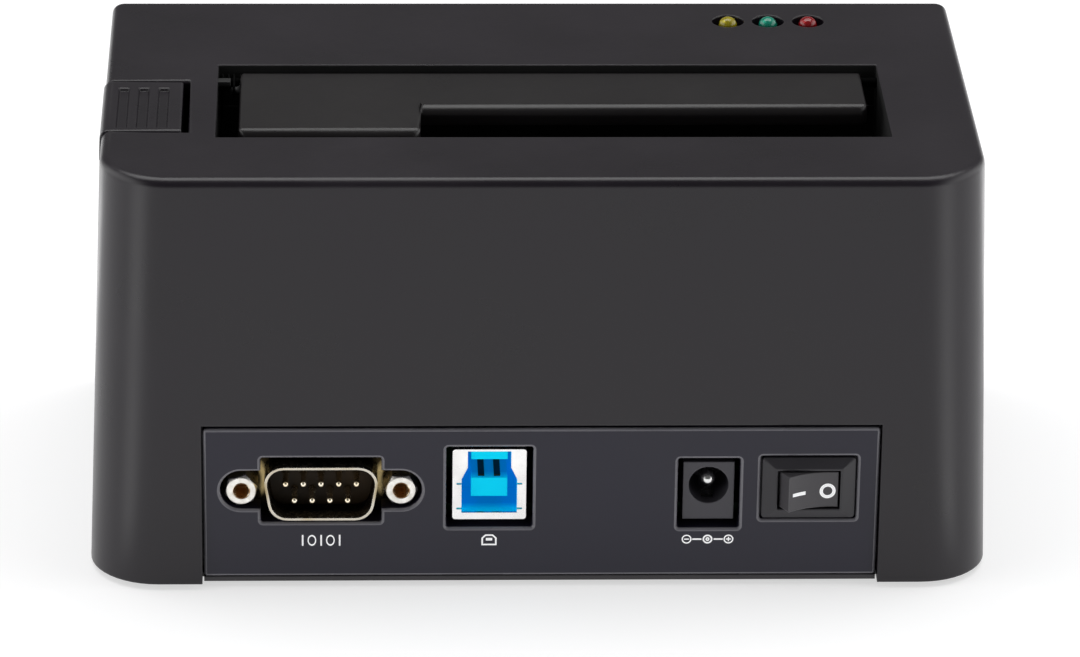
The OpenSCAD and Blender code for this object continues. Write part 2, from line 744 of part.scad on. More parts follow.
module led_board_screws() color(steel) at_led_screws()
  translate([0, 0, led_board_z - board_t - screw_head_h])
    screw(small_head_r, screw_head_h, small_screw_r, board_t + led_screw_grip);

// The port openings, as outlines in X and Z
serial_side_room = 1;
serial_end_room = 1.42;
serial_cut_w = dshell_w + 2 * serial_side_room;
serial_cut_h = dshell_h + 2 * serial_end_room;
lobe_r = 3.3;
opening_r = 0.4;
module serial_cut() translate([serial_x, serial_cut_z]) {
  polygon(round_rect(-serial_cut_w / 2, serial_cut_w / 2, -serial_cut_h / 2, serial_cut_h / 2,
    opening_r));
  for (s = [-1, 1]) translate([s * jack_pitch / 2, 0]) circle(r = lobe_r);
  translate([-jack_pitch / 2, -lobe_r]) square([jack_pitch, 2 * lobe_r]);
}
usb_side_room = 1;
usb_top_room = 0.8;
usb_low_room = 1;
dc_side_room = 0.9;
dc_top_room = 1;
dc_low_room = 1.25;
module usb_hole() polygon(round_rect(usb_x - usb_w / 2 - usb_side_room, usb_x + usb_w / 2 + usb_side_room,
  z_board - usb_low_room, usb_z1 + usb_top_room, opening_r));
module dc_hole() polygon(round_rect(dc_x - dc_w / 2 - dc_side_room, dc_x + dc_w / 2 + dc_side_room,
  z_board - dc_low_room, dc_z1 + dc_top_room, opening_r));
module bezel_outline(g, r) polygon(round_rect(switch_x - bezel_w / 2 - g, switch_x + bezel_w / 2 + g,
  switch_z - bezel_h / 2 - g, switch_z + bezel_h / 2 + g, r));
module sbody_outline(g) translate([switch_x - sbody_w / 2 - g, switch_z - sbody_h / 2 - g])
  square([sbody_w + 2 * g, sbody_h + 2 * g]);

// The rear panel: its face fills the notch, its flange lies behind the housing's wall
panel_corner_r = 0.5;
module rear_panel() color(panel_grey) {
  along_y(panel_y, bezel_y1 + skin) difference() {
    polygon(round_rect(-panel_w / 2, panel_w / 2, panel_z0, panel_z1, panel_corner_r));
    serial_cut();
    usb_hole();
    dc_hole();
    bezel_outline(bezel_cut, opening_r);
  }
  along_y(bezel_y1, panel_y1) difference() {
    polygon(round_rect(-panel_w / 2, panel_w / 2, panel_z0, panel_z1, panel_corner_r));
    serial_cut();
    usb_hole();
    dc_hole();
    sbody_outline(fit_gap / 2);
  }
  along_y(panel_y1 - skin, panel_y2) difference() {
    translate([-panel_w / 2 - panel_flange, z_base])
      square([panel_w + 2 * panel_flange, panel_z1 + panel_flange - z_base]);
    serial_cut();
    usb_hole();
    dc_hole();
    sbody_outline(fit_gap / 2);
  }
}

// The drive well: four walls and a floor under the slot's skirt, with ears, key shelf and lever lugs
lifter_near_room = 2.2;
lifter_far_room = 0.8;
hub_room = 1;
module drive_well() color(black) difference() {
  union() {
    box(slot_x0 - well_t, slot_x1 + well_t, slot_y0 - well_t, slot_y1 + well_t, z_floor_low, z_skirt);
    at_ears() translate([0, 0, ear_z0]) cylinder(r = ear_r, h = ear_t);
    for (sx = [-1, 1]) {
      box(slot_x + sx * ear_x - ear_r, slot_x + sx * ear_x + ear_r, ear_y0, slot_y0 - well_t + skin,
        ear_z0, ear_z1);
      box(slot_x + sx * ear_far_x - ear_r, slot_x + sx * ear_far_x + ear_r, slot_y1 + well_t - skin, ear_y1,
        ear_z0, ear_z1);
    }
    box(post_x - shelf_half, slot_x0 - well_t + skin, post_y - shelf_half, post_y + shelf_half,
      shelf_z0, shelf_z1);
    for (y = [lug_y0 - lug_t, lug_y1])
      box(pivot_x - hub_r, pivot_x + hub_r, y, y + lug_t, lug_z0, z_floor_low + skin);
  }
  box(slot_x0, slot_x1, slot_y0, slot_y1, z_floor, z_skirt + cut);
  box(sata_x - sata_l / 2 - sata_gap, sata_x + sata_l / 2 + sata_gap, sata_y - sata_w / 2 - sata_gap,
    sata_y + sata_w / 2 + sata_gap, z_floor_low - cut, z_floor + cut);
  box(lifter_x - lifter_l / 2 - lifter_near_room, lifter_x + lifter_l / 2 + lifter_far_room,
    lifter_y0 - move_gap, lifter_y1 + move_gap, z_floor_low - cut, z_floor + cut);
  box(pivot_x - hub_r - hub_room, lifter_x, post_y - lever_w / 2 - move_gap,
    post_y + lever_w / 2 + move_gap, z_floor_low - cut, z_floor + cut);
  translate([post_x, post_y, shelf_z0 - cut]) cylinder(r = post_r + run_gap, h = shelf_t + 2 * cut);
  bar_y(lug_y0 - lug_t - cut, lug_y1 + lug_t + cut, pivot_x, pivot_z, lever_pin_r);
  at_ears() translate([0, 0, ear_z0 - cut]) cylinder(r = small_screw_r + fit_gap / 2, h = ear_t + 2 * cut);
}

// The dust flap: a plate with a round hinge edge and a cut-out for a small drive
function flap_profile(y0) = concat(
  arc(hinge_y, hinge_z, hinge_r, -90, 90, 12),
  arc(y0 + flap_edge_r, flap_z1 - flap_edge_r, flap_edge_r, 90, 180, 6),
  [[y0, flap_z0]]);
flap_step_r = 1.6;
flap_far_y = slot_y1 - flap_corner_r;
function flap_plan() = let (r = flap_corner_r) concat(
  arc(flap_x0 + r, flap_tab_y + r, r, 180, 270, 6), arc(flap_cut_x - r, flap_tab_y + r, r, -90, 0, 6),
  arc(flap_cut_x + flap_step_r, flap_lip_y - flap_step_r, flap_step_r, 180, 90, 4),
  arc(flap_x1 - r, flap_lip_y + r, r, -90, 0, 6),
  arc(flap_x1 - r, flap_far_y, r, 0, 90, 6), arc(flap_x0 + r, flap_far_y, r, 90, 180, 6));
module slot_flap() color(shell_grey) difference() {
  union() {
    intersection() {
      union() {
        along_x(flap_cut_x - flap_edge_r, flap_x1) polygon(flap_profile(flap_lip_y));
        along_x(flap_x0, flap_cut_x) polygon(flap_profile(flap_tab_y));
      }
      translate([0, 0, flap_z0 - cut]) linear_extrude(flap_t + 2 * cut) polygon(flap_plan());
    }
    bar_x(flap_x0 - stop_reach + move_gap, flap_x0 + peg_sink, stop_y1 - stop_l / 2, hinge_z, stop_peg_r);
  }
  bar_x(flap_x0 - cut, flap_x0 + hinge_pin_sink, hinge_y, hinge_z, hinge_pin_r);
  bar_x(flap_x1 - hinge_pin_sink, flap_x1 + cut, hinge_y, hinge_z, hinge_pin_r);
}
module flap_hinge_pins() color(steel) {
  bar_x(slot_x0 - well_t, flap_x0 + hinge_pin_sink, hinge_y, hinge_z, hinge_pin_r);
  bar_x(flap_x1 - hinge_pin_sink, slot_x1 + well_t, hinge_y, hinge_z, hinge_pin_r);
}

// The flap's torsion spring: one leg leans on the slot's far wall, the other hooks under the flap's peg
flap_steps = 12;
hook_y = stop_y1 - stop_l / 2;
hook_r = stop_peg_r + flap_wire_r + skin;
flap_coil = concat(
  [[coil_x0, slot_y1 - flap_wire_r - skin, hinge_z - coil_leg],
    [coil_x0, hinge_y + coil_r, hinge_z - coil_leg / 2]],
  [for (i = [0 : flap_steps * flap_turns + flap_steps / 4]) let (a = 360 * i / flap_steps)
    [coil_x0 + coil_step * i / flap_steps, hinge_y + coil_r * cos(a), hinge_z + coil_r * sin(a)]],
  [for (a = [90 : 30 : 270]) [coil_x0 + coil_step * (flap_turns + 0.25), hook_y + hook_r * cos(a),
    hinge_z + hook_r * sin(a)]]);
module flap_spring() color(steel) wire(flap_coil, flap_wire_r, [1, 0, 0]);

// The eject key: a head that fills the notch in the housing's edge, and a post that reaches the lever
module eject_button() color(shell_grey) difference() {
  union() {
    intersection() {
      translate([-key_proud, 0, 0]) outer_form();
      union() {
        box(-body_w, key_x1, key_y0, key_y1, key_lip_z, z_top);
        box(key_body_x0, key_x1, key_y0, key_y1, key_z0, key_lip_z + skin);
      }
    }
    translate([post_x, post_y, post_z0]) cylinder(r = post_r, h = z_top - key_roof - post_z0);
  }
  for (i = [0 : groove_count - 1])
    let (x = (key_x0 + key_x1) / 2 + (i - (groove_count - 1) / 2) * groove_pitch)
      box(x - groove_w / 2, x + groove_w / 2, key_y0 + groove_near, key_y0 + groove_near + groove_l,
        z_top - groove_depth, z_top + cut);
  round_off_x(-body_w, key_x1 + cut, key_y0, z_top, key_edge_r);
  for (s = [-1, 1]) let (y = post_y + s * (key_seat + key_pocket / 2))
    box(key_body_x0 + key_wall, key_x1 - key_wall, y - key_pocket / 2, y + key_pocket / 2,
      key_z0 - cut, z_top - key_roof);
  difference() {
    translate([post_x, post_y, clip_z0]) cylinder(r = post_r + cut, h = clip_t);
    translate([post_x, post_y, clip_z0 - cut]) cylinder(r = clip_groove_r, h = clip_t + 2 * cut);
  }
}
clip_mouth = 0.7 * clip_groove_r;
module eject_clip() color(steel) difference() {
  translate([post_x, post_y, clip_z0]) cylinder(r = clip_r, h = clip_t);
  translate([post_x, post_y, clip_z0 - cut]) cylinder(r = clip_groove_r, h = clip_t + 2 * cut);
  box(post_x - clip_r - cut, post_x, post_y - clip_mouth, post_y + clip_mouth,
    clip_z0 - cut, clip_z1 + cut);
}

// The key's return spring, on the shelf and round the post
key_steps = 14;
coil_rest = 1.2 * key_wire_r;
key_coil = [for (i = [0 : key_turns * key_steps])
  let (a = 360 * i / key_steps, t = i / (key_turns * key_steps))
    [post_x + spring_r * cos(a), post_y + spring_r * sin(a),
      shelf_z1 + coil_rest + t * (key_spring_l - 2 * coil_rest)]];
module eject_spring() color(steel) wire(key_coil, key_wire_r, [0, 0, 1]);
echo("eject_spring least gap", least_gap(key_coil, key_wire_r, key_steps / 2));
echo("flap_spring least gap", least_gap(flap_coil, flap_wire_r, flap_steps / 2));

// The eject lever: a nose under the key's post, a hub on the pivot pin, a lifter in the well's floor
module eject_lever() color(black) difference() {
  union() {
    bar_y(post_y - lever_w / 2, post_y + lever_w / 2, pivot_x, pivot_z, hub_r);
    box(post_x, lifter_x + lifter_l / 2, post_y - lever_w / 2, post_y + lever_w / 2, arm_z0, arm_z1);
    bar_y(post_y - lever_w / 2, post_y + lever_w / 2, post_x, nose_z, nose_r);
    box(lifter_x - lifter_l / 2, lifter_x + lifter_l / 2, lifter_y0, lifter_y1, arm_z0, z_floor);
  }
  bar_y(post_y - lever_w, post_y + lever_w, pivot_x, pivot_z, lever_pin_r + run_gap);
}
module lever_pin() color(steel)
  bar_y(lug_y0 - lug_t, lug_y1 + lug_t, pivot_x, pivot_z, lever_pin_r);

// The main board, cut away where the lever dips
lever_notch = 4.2;
lever_side_room = 1;
module main_board() color(board_green) difference() {
  box(-board_x, board_x, board_y0, board_y1, z_board_low, z_board);
  box(-board_x - cut, pivot_x - lever_notch, post_y - lever_w / 2 - lever_side_room,
    post_y + lever_w / 2 + lever_side_room, z_board_low - cut, z_board + cut);
  at_stands() translate([0, 0, z_board_low - cut])
    cylinder(r = small_screw_r + fit_gap / 2, h = board_t + 2 * cut);
}

// The drive connector: two keyed slots in one block, with a row of contacts in each
sata_key_l = 1.4;
sata_key_w = 0.8;
sata_signal_l = 10.4;
sata_power_l = 20.6;
module sata_socket() color(black) difference() {
  box(sata_x - sata_l / 2, sata_x + sata_l / 2, sata_y - sata_w / 2, sata_y + sata_w / 2,
    z_board, z_board + sata_h);
  for (s = [[sata_signal_x, sata_signal_l], [sata_power_x, sata_power_l]]) {
    box(s[0] - s[1] / 2, s[0] + s[1] / 2, sata_y - sata_slot_w / 2, sata_y + sata_slot_w / 2,
      z_board + sata_h - sata_slot_l, z_board + sata_h + cut);
    box(s[0] + s[1] / 2 - sata_key_l, s[0] + s[1] / 2, sata_y - sata_slot_w / 2,
      sata_y + sata_slot_w / 2 + sata_key_w, z_board + sata_h - sata_slot_l, z_board + sata_h + cut);
  }
}
contact_half = 0.3;
contact_set = 0.6;
contact_off = 0.4;
signal_ways = 7;
power_ways = 15;
module sata_contacts() color(gold) 
  for (s = [[sata_signal_x, signal_ways], [sata_power_x, power_ways]])
    for (i = [0 : s[1] - 1]) let (x = s[0] - contact_off + (i - (s[1] - 1) / 2) * sata_pitch)
      box(x - contact_half, x + contact_half, sata_y - sata_slot_w / 2,
        sata_y - sata_slot_w / 2 + contact_half,
        z_board + sata_h - sata_slot_l, z_board + sata_h - contact_set);

// The serial plug: a flange with a D-shaped skirt, its insulator, nine pins and two jackscrews
flange_corner_r = 1;
flange_hole_room = 0.3;
module serial_shell() color(steel) {
  along_y(rim_y, flange_y + skin) translate([serial_x, serial_z]) difference() {
    polygon(d_outline(-sheet_t));
    polygon(d_outline(0));
  }
  along_y(flange_y, flange_y + sheet_t) translate([serial_x, serial_z]) difference() {
    polygon(round_rect(-flange_w / 2, flange_w / 2, -flange_h / 2, flange_h / 2, flange_corner_r));
    polygon(d_outline(0));
    for (s = [-1, 1]) translate([s * jack_pitch / 2, 0]) circle(r = jack_hole_r + flange_hole_room);
  }
}
jack_floor = 1;
jack_corner_r = jack_flats / 2 / cos(30);
jack_chamfer = 0.5;
jack_turn = 15;
jack_tail = 4;
face_set = 0.8;
block_half = 9.4;
block_l = 8;
block_up = 5.2;
pin_tail = 4;
serial_face_y = flange_y - face_set;
module serial_insulator() color(black) difference() {
  union() {
    along_y(serial_face_y, flange_y + sheet_t + skin) translate([serial_x, serial_z]) polygon(d_outline(0));
    box(serial_x - block_half, serial_x + block_half, flange_y + sheet_t, flange_y + sheet_t + block_l,
      z_board, serial_z + block_up);
  }
  at_serial_pins() translate([0, flange_y + pin_tail, 0]) rotate([90, 0, 0])
    cylinder(r = pin_r, h = pin_tail + dshell_l + cut);
}
module at_serial_pins() for (row = [0, 1]) for (i = [0 : 4 - row])
  translate([serial_x + (i - (4 - row) / 2) * pin_pitch, 0, serial_z + (0.5 - row) * pin_row]) children();
module serial_pins() color(gold) at_serial_pins() {
  translate([0, flange_y + pin_tail, 0]) rotate([90, 0, 0])
    cylinder(r = pin_r, h = flange_y + pin_tail - rim_y - pin_set - pin_r);
  translate([0, rim_y + pin_set + pin_r, 0]) sphere(r = pin_r);
}
module serial_jackscrews() color(steel) for (s = [-1, 1])
  translate([serial_x + s * jack_pitch / 2, flange_y, serial_z]) rotate([90, 0, 0]) difference() {
    union() {
      intersection() {
        rotate([0, 0, s < 0 ? jack_turn : 0]) cylinder(r = jack_corner_r, h = jack_l, $fn = 6);
        union() {
          cylinder(r = jack_flats, h = jack_l - jack_chamfer);
          translate([0, 0, jack_l - jack_chamfer - skin])
            cylinder(r1 = jack_corner_r, r2 = jack_corner_r - jack_chamfer, h = jack_chamfer + skin);
        }
      }
      translate([0, 0, -jack_tail]) cylinder(r = jack_hole_r, h = jack_tail + skin);
    }
    translate([0, 0, jack_floor]) cylinder(r = jack_hole_r, h = jack_l + cut);
  }

// The USB socket: a metal can with a house-shaped mouth, a blue insulator and its contacts
mouth_low = 1.2;
mouth_shoulder = 7;
mouth_neck = 9;
mouth_wide = 4.35;
mouth_narrow = 3.4;
usb_depth = 9;
mouth_rim = 0.4;
function usb_mouth(top) = [[-mouth_wide, mouth_low], [mouth_wide, mouth_low],
  [mouth_wide, mouth_shoulder], [mouth_narrow, mouth_neck], [mouth_narrow, top],
  [-mouth_narrow, top], [-mouth_narrow, mouth_neck], [-mouth_wide, mouth_shoulder]];
tongue_z = 3.4;
tongue_set = 1.4;
upper_t = 1.5;
upper_gap = 0.1;
usb_corner_r = 0.5;
least_fold_r = 0.1;
slit_l = 0.8;
slit_half = 0.12;
slit_levels = [1.9, 6.2];
module usb_section(inset) polygon(round_rect(usb_x - usb_w / 2 + inset, usb_x + usb_w / 2 - inset,
  z_board + inset, usb_z1 - inset, max(usb_corner_r - inset, least_fold_r)));
module usb_opening(top) translate([usb_x, z_board]) polygon(usb_mouth(top));
module usb_shell() color(steel) difference() {
  along_y(usb_y0, usb_y0 + usb_l) usb_section(0);
  along_y(usb_y0 + usb_sheet, usb_y0 + usb_l + cut) usb_section(usb_sheet);
  along_y(usb_y0 - cut, usb_y0 + usb_sheet + cut) usb_opening(usb_h - mouth_rim);
  for (z = slit_levels)
    box(usb_x - mouth_wide - slit_l, usb_x + mouth_wide + slit_l, usb_y0 - cut, usb_y0 + usb_sheet + skin,
      z_board + z - slit_half, z_board + z + slit_half);
}
module usb_insulator() color(port_blue) {
  difference() {
    along_y(usb_y0 + usb_sheet, usb_y0 + usb_l) usb_section(usb_sheet);
    along_y(usb_y0 - cut, usb_y0 + usb_depth) usb_opening(usb_h + cut);
  }
  box(usb_x - tongue_w / 2, usb_x + tongue_w / 2, usb_y0 + tongue_set, usb_y0 + usb_depth + skin,
    z_board + tongue_z, z_board + tongue_z + tongue_h);
  box(usb_x - tongue_w / 2, usb_x + tongue_w / 2, usb_y0 + usb_sheet, usb_y0 + usb_depth + skin,
    usb_z1 - usb_sheet - upper_t, usb_z1 - usb_sheet - upper_gap);
}
usb_contact_t = 0.25;
usb_contact_half = 0.5;
usb_contact_x = 1.25;
usb_contact_y = usb_y0 + tongue_set + 0.6;
upper_contact_half = 0.25;
upper_contact_y = usb_y0 + usb_sheet + 0.8;
module usb_contacts() color(gold) {
  for (s = [-1, 1]) for (z = [tongue_z + tongue_h, tongue_z - usb_contact_t])
    let (x = usb_x + s * usb_contact_x)
      box(x - usb_contact_half, x + usb_contact_half, usb_contact_y, usb_y0 + usb_depth,
        z_board + z, z_board + z + usb_contact_t);
  for (i = [-2 : 2])
    box(usb_x + i - upper_contact_half, usb_x + i + upper_contact_half, upper_contact_y, usb_y0 + usb_depth,
      usb_z1 - usb_sheet - upper_t - usb_contact_t, usb_z1 - usb_sheet - upper_t);
}

// The power inlet: a block with a bore, its centre pin and its spring contact
leaf_w = 2;
leaf_t = 0.4;
leaf_drop = 0.9;
leaf_set = 2;
module dc_jack_body() color(black) difference() {
  box(dc_x - dc_w / 2, dc_x + dc_w / 2, dc_y0, dc_y0 + dc_l, z_board, dc_z1);
  bar_y(dc_y0 - cut, dc_y0 + dc_bore_l, dc_x, dc_z, dc_bore_r);
  box(dc_x - leaf_w / 2, dc_x + leaf_w / 2, dc_y0 + leaf_set, dc_y0 + dc_bore_l,
    dc_z - dc_bore_r - leaf_drop, dc_z - dc_bore_r / 2);
}
dc_pin_set = 1.4;
dc_pin_y = dc_y0 + dc_pin_set + dc_pin_r;
module dc_jack_pin() color(steel) {
  bar_y(dc_pin_y, dc_y0 + dc_bore_l, dc_x, dc_z, dc_pin_r);
  translate([dc_x, dc_pin_y, dc_z]) sphere(r = dc_pin_r);
}
module dc_jack_spring() color(gold)
  box(dc_x - leaf_w / 2, dc_x + leaf_w / 2, dc_y0 + leaf_set, dc_y0 + dc_bore_l,
    dc_z - dc_bore_r - leaf_drop, dc_z - dc_bore_r - leaf_drop + leaf_t);

// The rocker switch: bezel and body in one, the rocker on two trunnions, and two blades behind
bezel_land = 0.3;
land_w = rocker_open_w / 2 + bezel_land;
land_h = rocker_open_h / 2 + bezel_land;
trunnion_l = 0.8;
trunnion_room = 0.1;
module switch_body() color(black) difference() {
  union() {
    along_y(bezel_y0, bezel_y1) bezel_outline(0, bezel_r);
    along_y(bezel_y1 - skin, sbody_y1) sbody_outline(0);
    hull() {
      along_y(bezel_y0, bezel_y0 + skin) bezel_outline(0, bezel_r);
      box(switch_x - land_w, switch_x + land_w, bezel_front, bezel_y0,
        switch_z - land_h, switch_z + land_h);
    }
  }
  box(switch_x - rocker_open_w / 2, switch_x + rocker_open_w / 2, bezel_front - cut, switch_well_y,
    switch_z - rocker_open_h / 2, switch_z + rocker_open_h / 2);
  translate([switch_x, rocker_y, switch_z - rocker_h / 2 - trunnion_l - trunnion_room])
    cylinder(r = trunnion_r + run_gap, h = rocker_h + 2 * (trunnion_l + trunnion_room));
}
dish_r = (pow(rocker_l / 2, 2) + pow(rocker_end_v - rocker_mid_v, 2)) / 2 / (rocker_end_v - rocker_mid_v);
hub_in = 0.4;
module rocker_plan() {
  difference() {
    polygon([[-rocker_root, 0], [-rocker_l / 2, rocker_end_v], [rocker_l / 2, rocker_end_v],
      [rocker_root, 0], [rocker_hub_r, -rocker_foot], [-rocker_hub_r, -rocker_foot]]);
    translate([0, rocker_mid_v + dish_r]) circle(r = dish_r);
  }
  circle(r = rocker_hub_r - hub_in);
}
module power_rocker() color(black) translate([switch_x, rocker_y, switch_z]) rotate([0, 0, rocker_tilt])
  mirror([0, 1, 0]) {
    translate([0, 0, -rocker_h / 2]) linear_extrude(rocker_h) rocker_plan();
    translate([0, 0, -rocker_h / 2 - trunnion_l]) cylinder(r = trunnion_r, h = rocker_h + 2 * trunnion_l);
  }
blade_l = 3;
blade_x = 3.2;
blade_half = 0.4;
blade_z0 = switch_z - 2.6;
blade_z1 = switch_z + 1.4;
module switch_terminals() color(gold) for (s = [-1, 1]) let (x = switch_x + s * blade_x)
  box(x - blade_half, x + blade_half, sbody_y1, sbody_y1 + blade_l, blade_z0, blade_z1);

// Leads from the blades down to the board
lead_r = 0.6;
module switch_leads() color([0.6, 0.05, 0.05]) for (s = [-1, 1])
  translate([switch_x + s * blade_x, sbody_y1 + blade_l / 2, z_board])
    cylinder(r = lead_r, h = blade_z0 - z_board);

// The lamps: a collar, a straight body and a dome, on two leads each
module lamp(x) translate([x, led_y, led_low]) {
  cylinder(r = led_r, h = led_body_l);
  translate([0, 0, led_body_l]) intersection() {
    sphere(r = led_r);
    translate([0, 0, -skin]) cylinder(r = 2 * led_r, h = 2 * led_r);
  }
  cylinder(r = led_flange_r, h = led_flange_t);
}
module led_yellow() color([0.9, 0.75, 0.05]) lamp(led_x - led_pitch);
module led_green() color([0.05, 0.6, 0.45]) lamp(led_x);
module led_red() color([0.8, 0.06, 0.06]) lamp(led_x + led_pitch);
led_lead_x = 0.9;
led_lead_r = 0.3;
module led_leads() color(steel) for (i = [-1 : 1]) for (s = [-1, 1])
  translate([led_x + i * led_pitch + s * led_lead_x, led_y, led_board_z])
    cylinder(r = led_lead_r, h = led_lead_l);
module led_board() color(board_green) difference() {
  box(led_x - led_board_half, led_x + led_board_half, led_y - led_board_d / 2, led_y + led_board_d / 2,
    led_board_z - board_t, led_board_z);
  at_led_screws() translate([0, 0, led_board_z - board_t - cut])
    cylinder(r = small_screw_r + fit_gap / 2, h = board_t + 2 * cut);
}

// The ribbon from the lamps' board to the header on the main board
cable_z0 = z_board + header_h;
cable_z1 = led_board_z - board_t;
cable_n = 16;
header_end = 1;
function cable_at(t, s) = [cable_y + cable_bow * (1 - cos(360 * t)) / 2 + s * cable_t / 2,
  cable_z0 + t * (cable_z1 - cable_z0)];
module led_cable() color([0.55, 0.55, 0.55]) along_x(led_x - cable_w / 2, led_x + cable_w / 2)
  polygon(concat([for (i = [0 : cable_n]) cable_at(i / cable_n, 1)],
    [for (i = [0 : cable_n]) cable_at(1 - i / cable_n, -1)]));
module led_cable_header() color([0.85, 0.83, 0.75])
  box(led_x - cable_w / 2 - header_end, led_x + cable_w / 2 + header_end, cable_y - header_d / 2,
    cable_y + header_d / 2, z_board, z_board + header_h);

// The board's main parts: the bridge chip with its legs, memory, serial driver, crystal, coils, capacitors
leg_half = 0.2;
leg_l = 1;
leg_t = 0.5;
leg_margin = 1;
module chip(x, y, w, d, legs) {
  translate([x, y, z_board]) {
    box(-w / 2, w / 2, -d / 2, d / 2, 0, chip_t);
    for (a = [0, 180]) rotate([0, 0, a]) for (i = [0 : legs - 1])
      let (p = (i - (legs - 1) / 2) * (w - leg_margin) / (legs - 1))
        box(p - leg_half, p + leg_half, d / 2 - skin, d / 2 + leg_l, 0, leg_t);
  }
}
bridge_w = 14;
bridge_d = 12;
bridge_x = slot_x + 2;
bridge_y = hinge_y - 6;
memory_w = 5;
memory_d = 4;
memory_x = bridge_x - bridge_w;
memory_y = hinge_y - 4;
driver_w = 10;
driver_d = 4;
driver_off = 6;
crystal_r = 2;
crystal_l = 6.4;
crystal_h = 3.4;
crystal_off = 14;
coil_gap = 3;
coil_y = hinge_y - 3;
cap_gap = 2.4;
cap_x = bridge_x - 16;
cap_edge = 0.5;
cap_y = board_y1 - cap_r - cap_edge;
module bridge_chip() color(black) chip(bridge_x, bridge_y, bridge_w, bridge_d, 16);
module memory_chip() color(black) chip(memory_x, memory_y, memory_w, memory_d, 4);
module serial_driver_chip() color(black) chip(serial_x + driver_off, stand_y1, driver_w, driver_d, 8);
module crystal() color(steel) translate([bridge_x + crystal_off, stand_y1 - 2 * crystal_r, z_board]) {
  cylinder(r = crystal_r, h = crystal_h);
  translate([crystal_l, 0, 0]) cylinder(r = crystal_r, h = crystal_h);
  box(0, crystal_l, -crystal_r, crystal_r, 0, crystal_h);
}
module power_inductors() color([0.2, 0.2, 0.2]) for (i = [0, 1])
  translate([dc_x - coil_side / 2 + i * (coil_side + coil_gap), coil_y, z_board])
    box(-coil_side / 2, coil_side / 2, -coil_side / 2, coil_side / 2, 0, coil_h);
module filter_capacitors() color([0.1, 0.15, 0.3]) for (i = [0 : 2])
  translate([cap_x + i * (2 * cap_r + cap_gap), cap_y, z_board]) cylinder(r = cap_r, h = cap_h);

upper_shell();
base_plate();
rear_panel();
rubber_feet();
case_screws();
drive_well();
well_screws();
slot_flap();
flap_hinge_pins();
flap_spring();
eject_button();
eject_clip();
eject_spring();
eject_lever();
lever_pin();
main_board();
board_screws();
sata_socket();
sata_contacts();
serial_shell();
serial_insulator();
serial_pins();
serial_jackscrews();
usb_shell();
usb_insulator();
usb_contacts();
dc_jack_body();
dc_jack_pin();
dc_jack_spring();
switch_body();
power_rocker();
switch_terminals();
switch_leads();
led_yellow();
led_green();
led_red();
led_leads();
led_board();
led_board_screws();
led_cable();
led_cable_header();
bridge_chip();
memory_chip();
serial_driver_chip();
crystal();
power_inductors();
filter_capacitors();
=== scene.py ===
import bmesh
import bpy
import math
from mathutils import Matrix, Vector


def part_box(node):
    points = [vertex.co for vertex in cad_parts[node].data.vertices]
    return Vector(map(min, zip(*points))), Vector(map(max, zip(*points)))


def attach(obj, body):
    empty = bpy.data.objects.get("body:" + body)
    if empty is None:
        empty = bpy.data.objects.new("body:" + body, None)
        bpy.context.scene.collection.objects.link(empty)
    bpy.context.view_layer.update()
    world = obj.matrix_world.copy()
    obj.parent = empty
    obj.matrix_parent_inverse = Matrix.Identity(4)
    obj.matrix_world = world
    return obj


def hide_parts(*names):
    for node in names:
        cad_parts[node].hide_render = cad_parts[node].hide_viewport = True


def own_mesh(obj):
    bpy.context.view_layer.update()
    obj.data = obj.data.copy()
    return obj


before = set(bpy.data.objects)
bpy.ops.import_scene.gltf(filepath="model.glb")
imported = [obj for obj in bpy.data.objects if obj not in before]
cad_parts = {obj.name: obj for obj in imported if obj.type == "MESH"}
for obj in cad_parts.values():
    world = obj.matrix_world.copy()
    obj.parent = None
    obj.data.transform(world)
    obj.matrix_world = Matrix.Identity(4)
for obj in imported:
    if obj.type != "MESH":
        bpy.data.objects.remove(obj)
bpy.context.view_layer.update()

# Base plate
# The floor of the dock: a charcoal ABS plate, moulded with a fine spark texture, that closes the
# housing from below. It is screwed to four posts that hang from the housing's roof.
plastic_ior = 1.45
pit_share = 0.6
pit_depth = 0.00005
dust_tone = (0.42, 0.41, 0.40)


def feed(links, value, socket):
    """Links a socket to another socket, or sets it to a plain value."""
    if isinstance(value, bpy.types.NodeSocket):
        links.new(value, socket)
    else:
        socket.default_value = value


def maths(nodes, links, operation, *values):
    """What a maths node makes of sockets and plain numbers."""
    step = nodes.new("ShaderNodeMath")
    step.operation = operation
    for value, socket in zip(values, step.inputs):
        feed(links, value, socket)
    return step.outputs[0]


def vector_maths(nodes, links, operation, *values):
    """What a vector maths node makes of sockets and plain vectors: a vector, or one value."""
    step = nodes.new("ShaderNodeVectorMath")
    step.operation = operation
    for value, socket in zip(values, step.inputs):
        feed(links, value, socket)
    single = operation in ("DOT_PRODUCT", "LENGTH", "DISTANCE")
    return step.outputs["Value" if single else "Vector"]


def parted(nodes, links, vector):
    """The three shares of a vector, as outputs X, Y and Z."""
    split = nodes.new("ShaderNodeSeparateXYZ")
    links.new(vector, split.inputs[0])
    return split.outputs


def noise(nodes, links, vector, scale, detail=2.0, roughness=0.5):
    """The value of a noise texture over vector."""
    texture = nodes.new("ShaderNodeTexNoise")
    feed(links, scale, texture.inputs["Scale"])
    texture.inputs["Detail"].default_value = detail
    texture.inputs["Roughness"].default_value = roughness
    links.new(vector, texture.inputs["Vector"])
    return texture.outputs["Fac"]


def ranged(nodes, links, value, low, high, floor=0.3, ceiling=0.7):
    """The value carried from floor..ceiling to low..high."""
    span = nodes.new("ShaderNodeMapRange")
    links.new(value, span.inputs["Value"])
    span.inputs["From Min"].default_value = floor
    span.inputs["From Max"].default_value = ceiling
    span.inputs["To Min"].default_value = low
    span.inputs["To Max"].default_value = high
    return span.outputs["Result"]


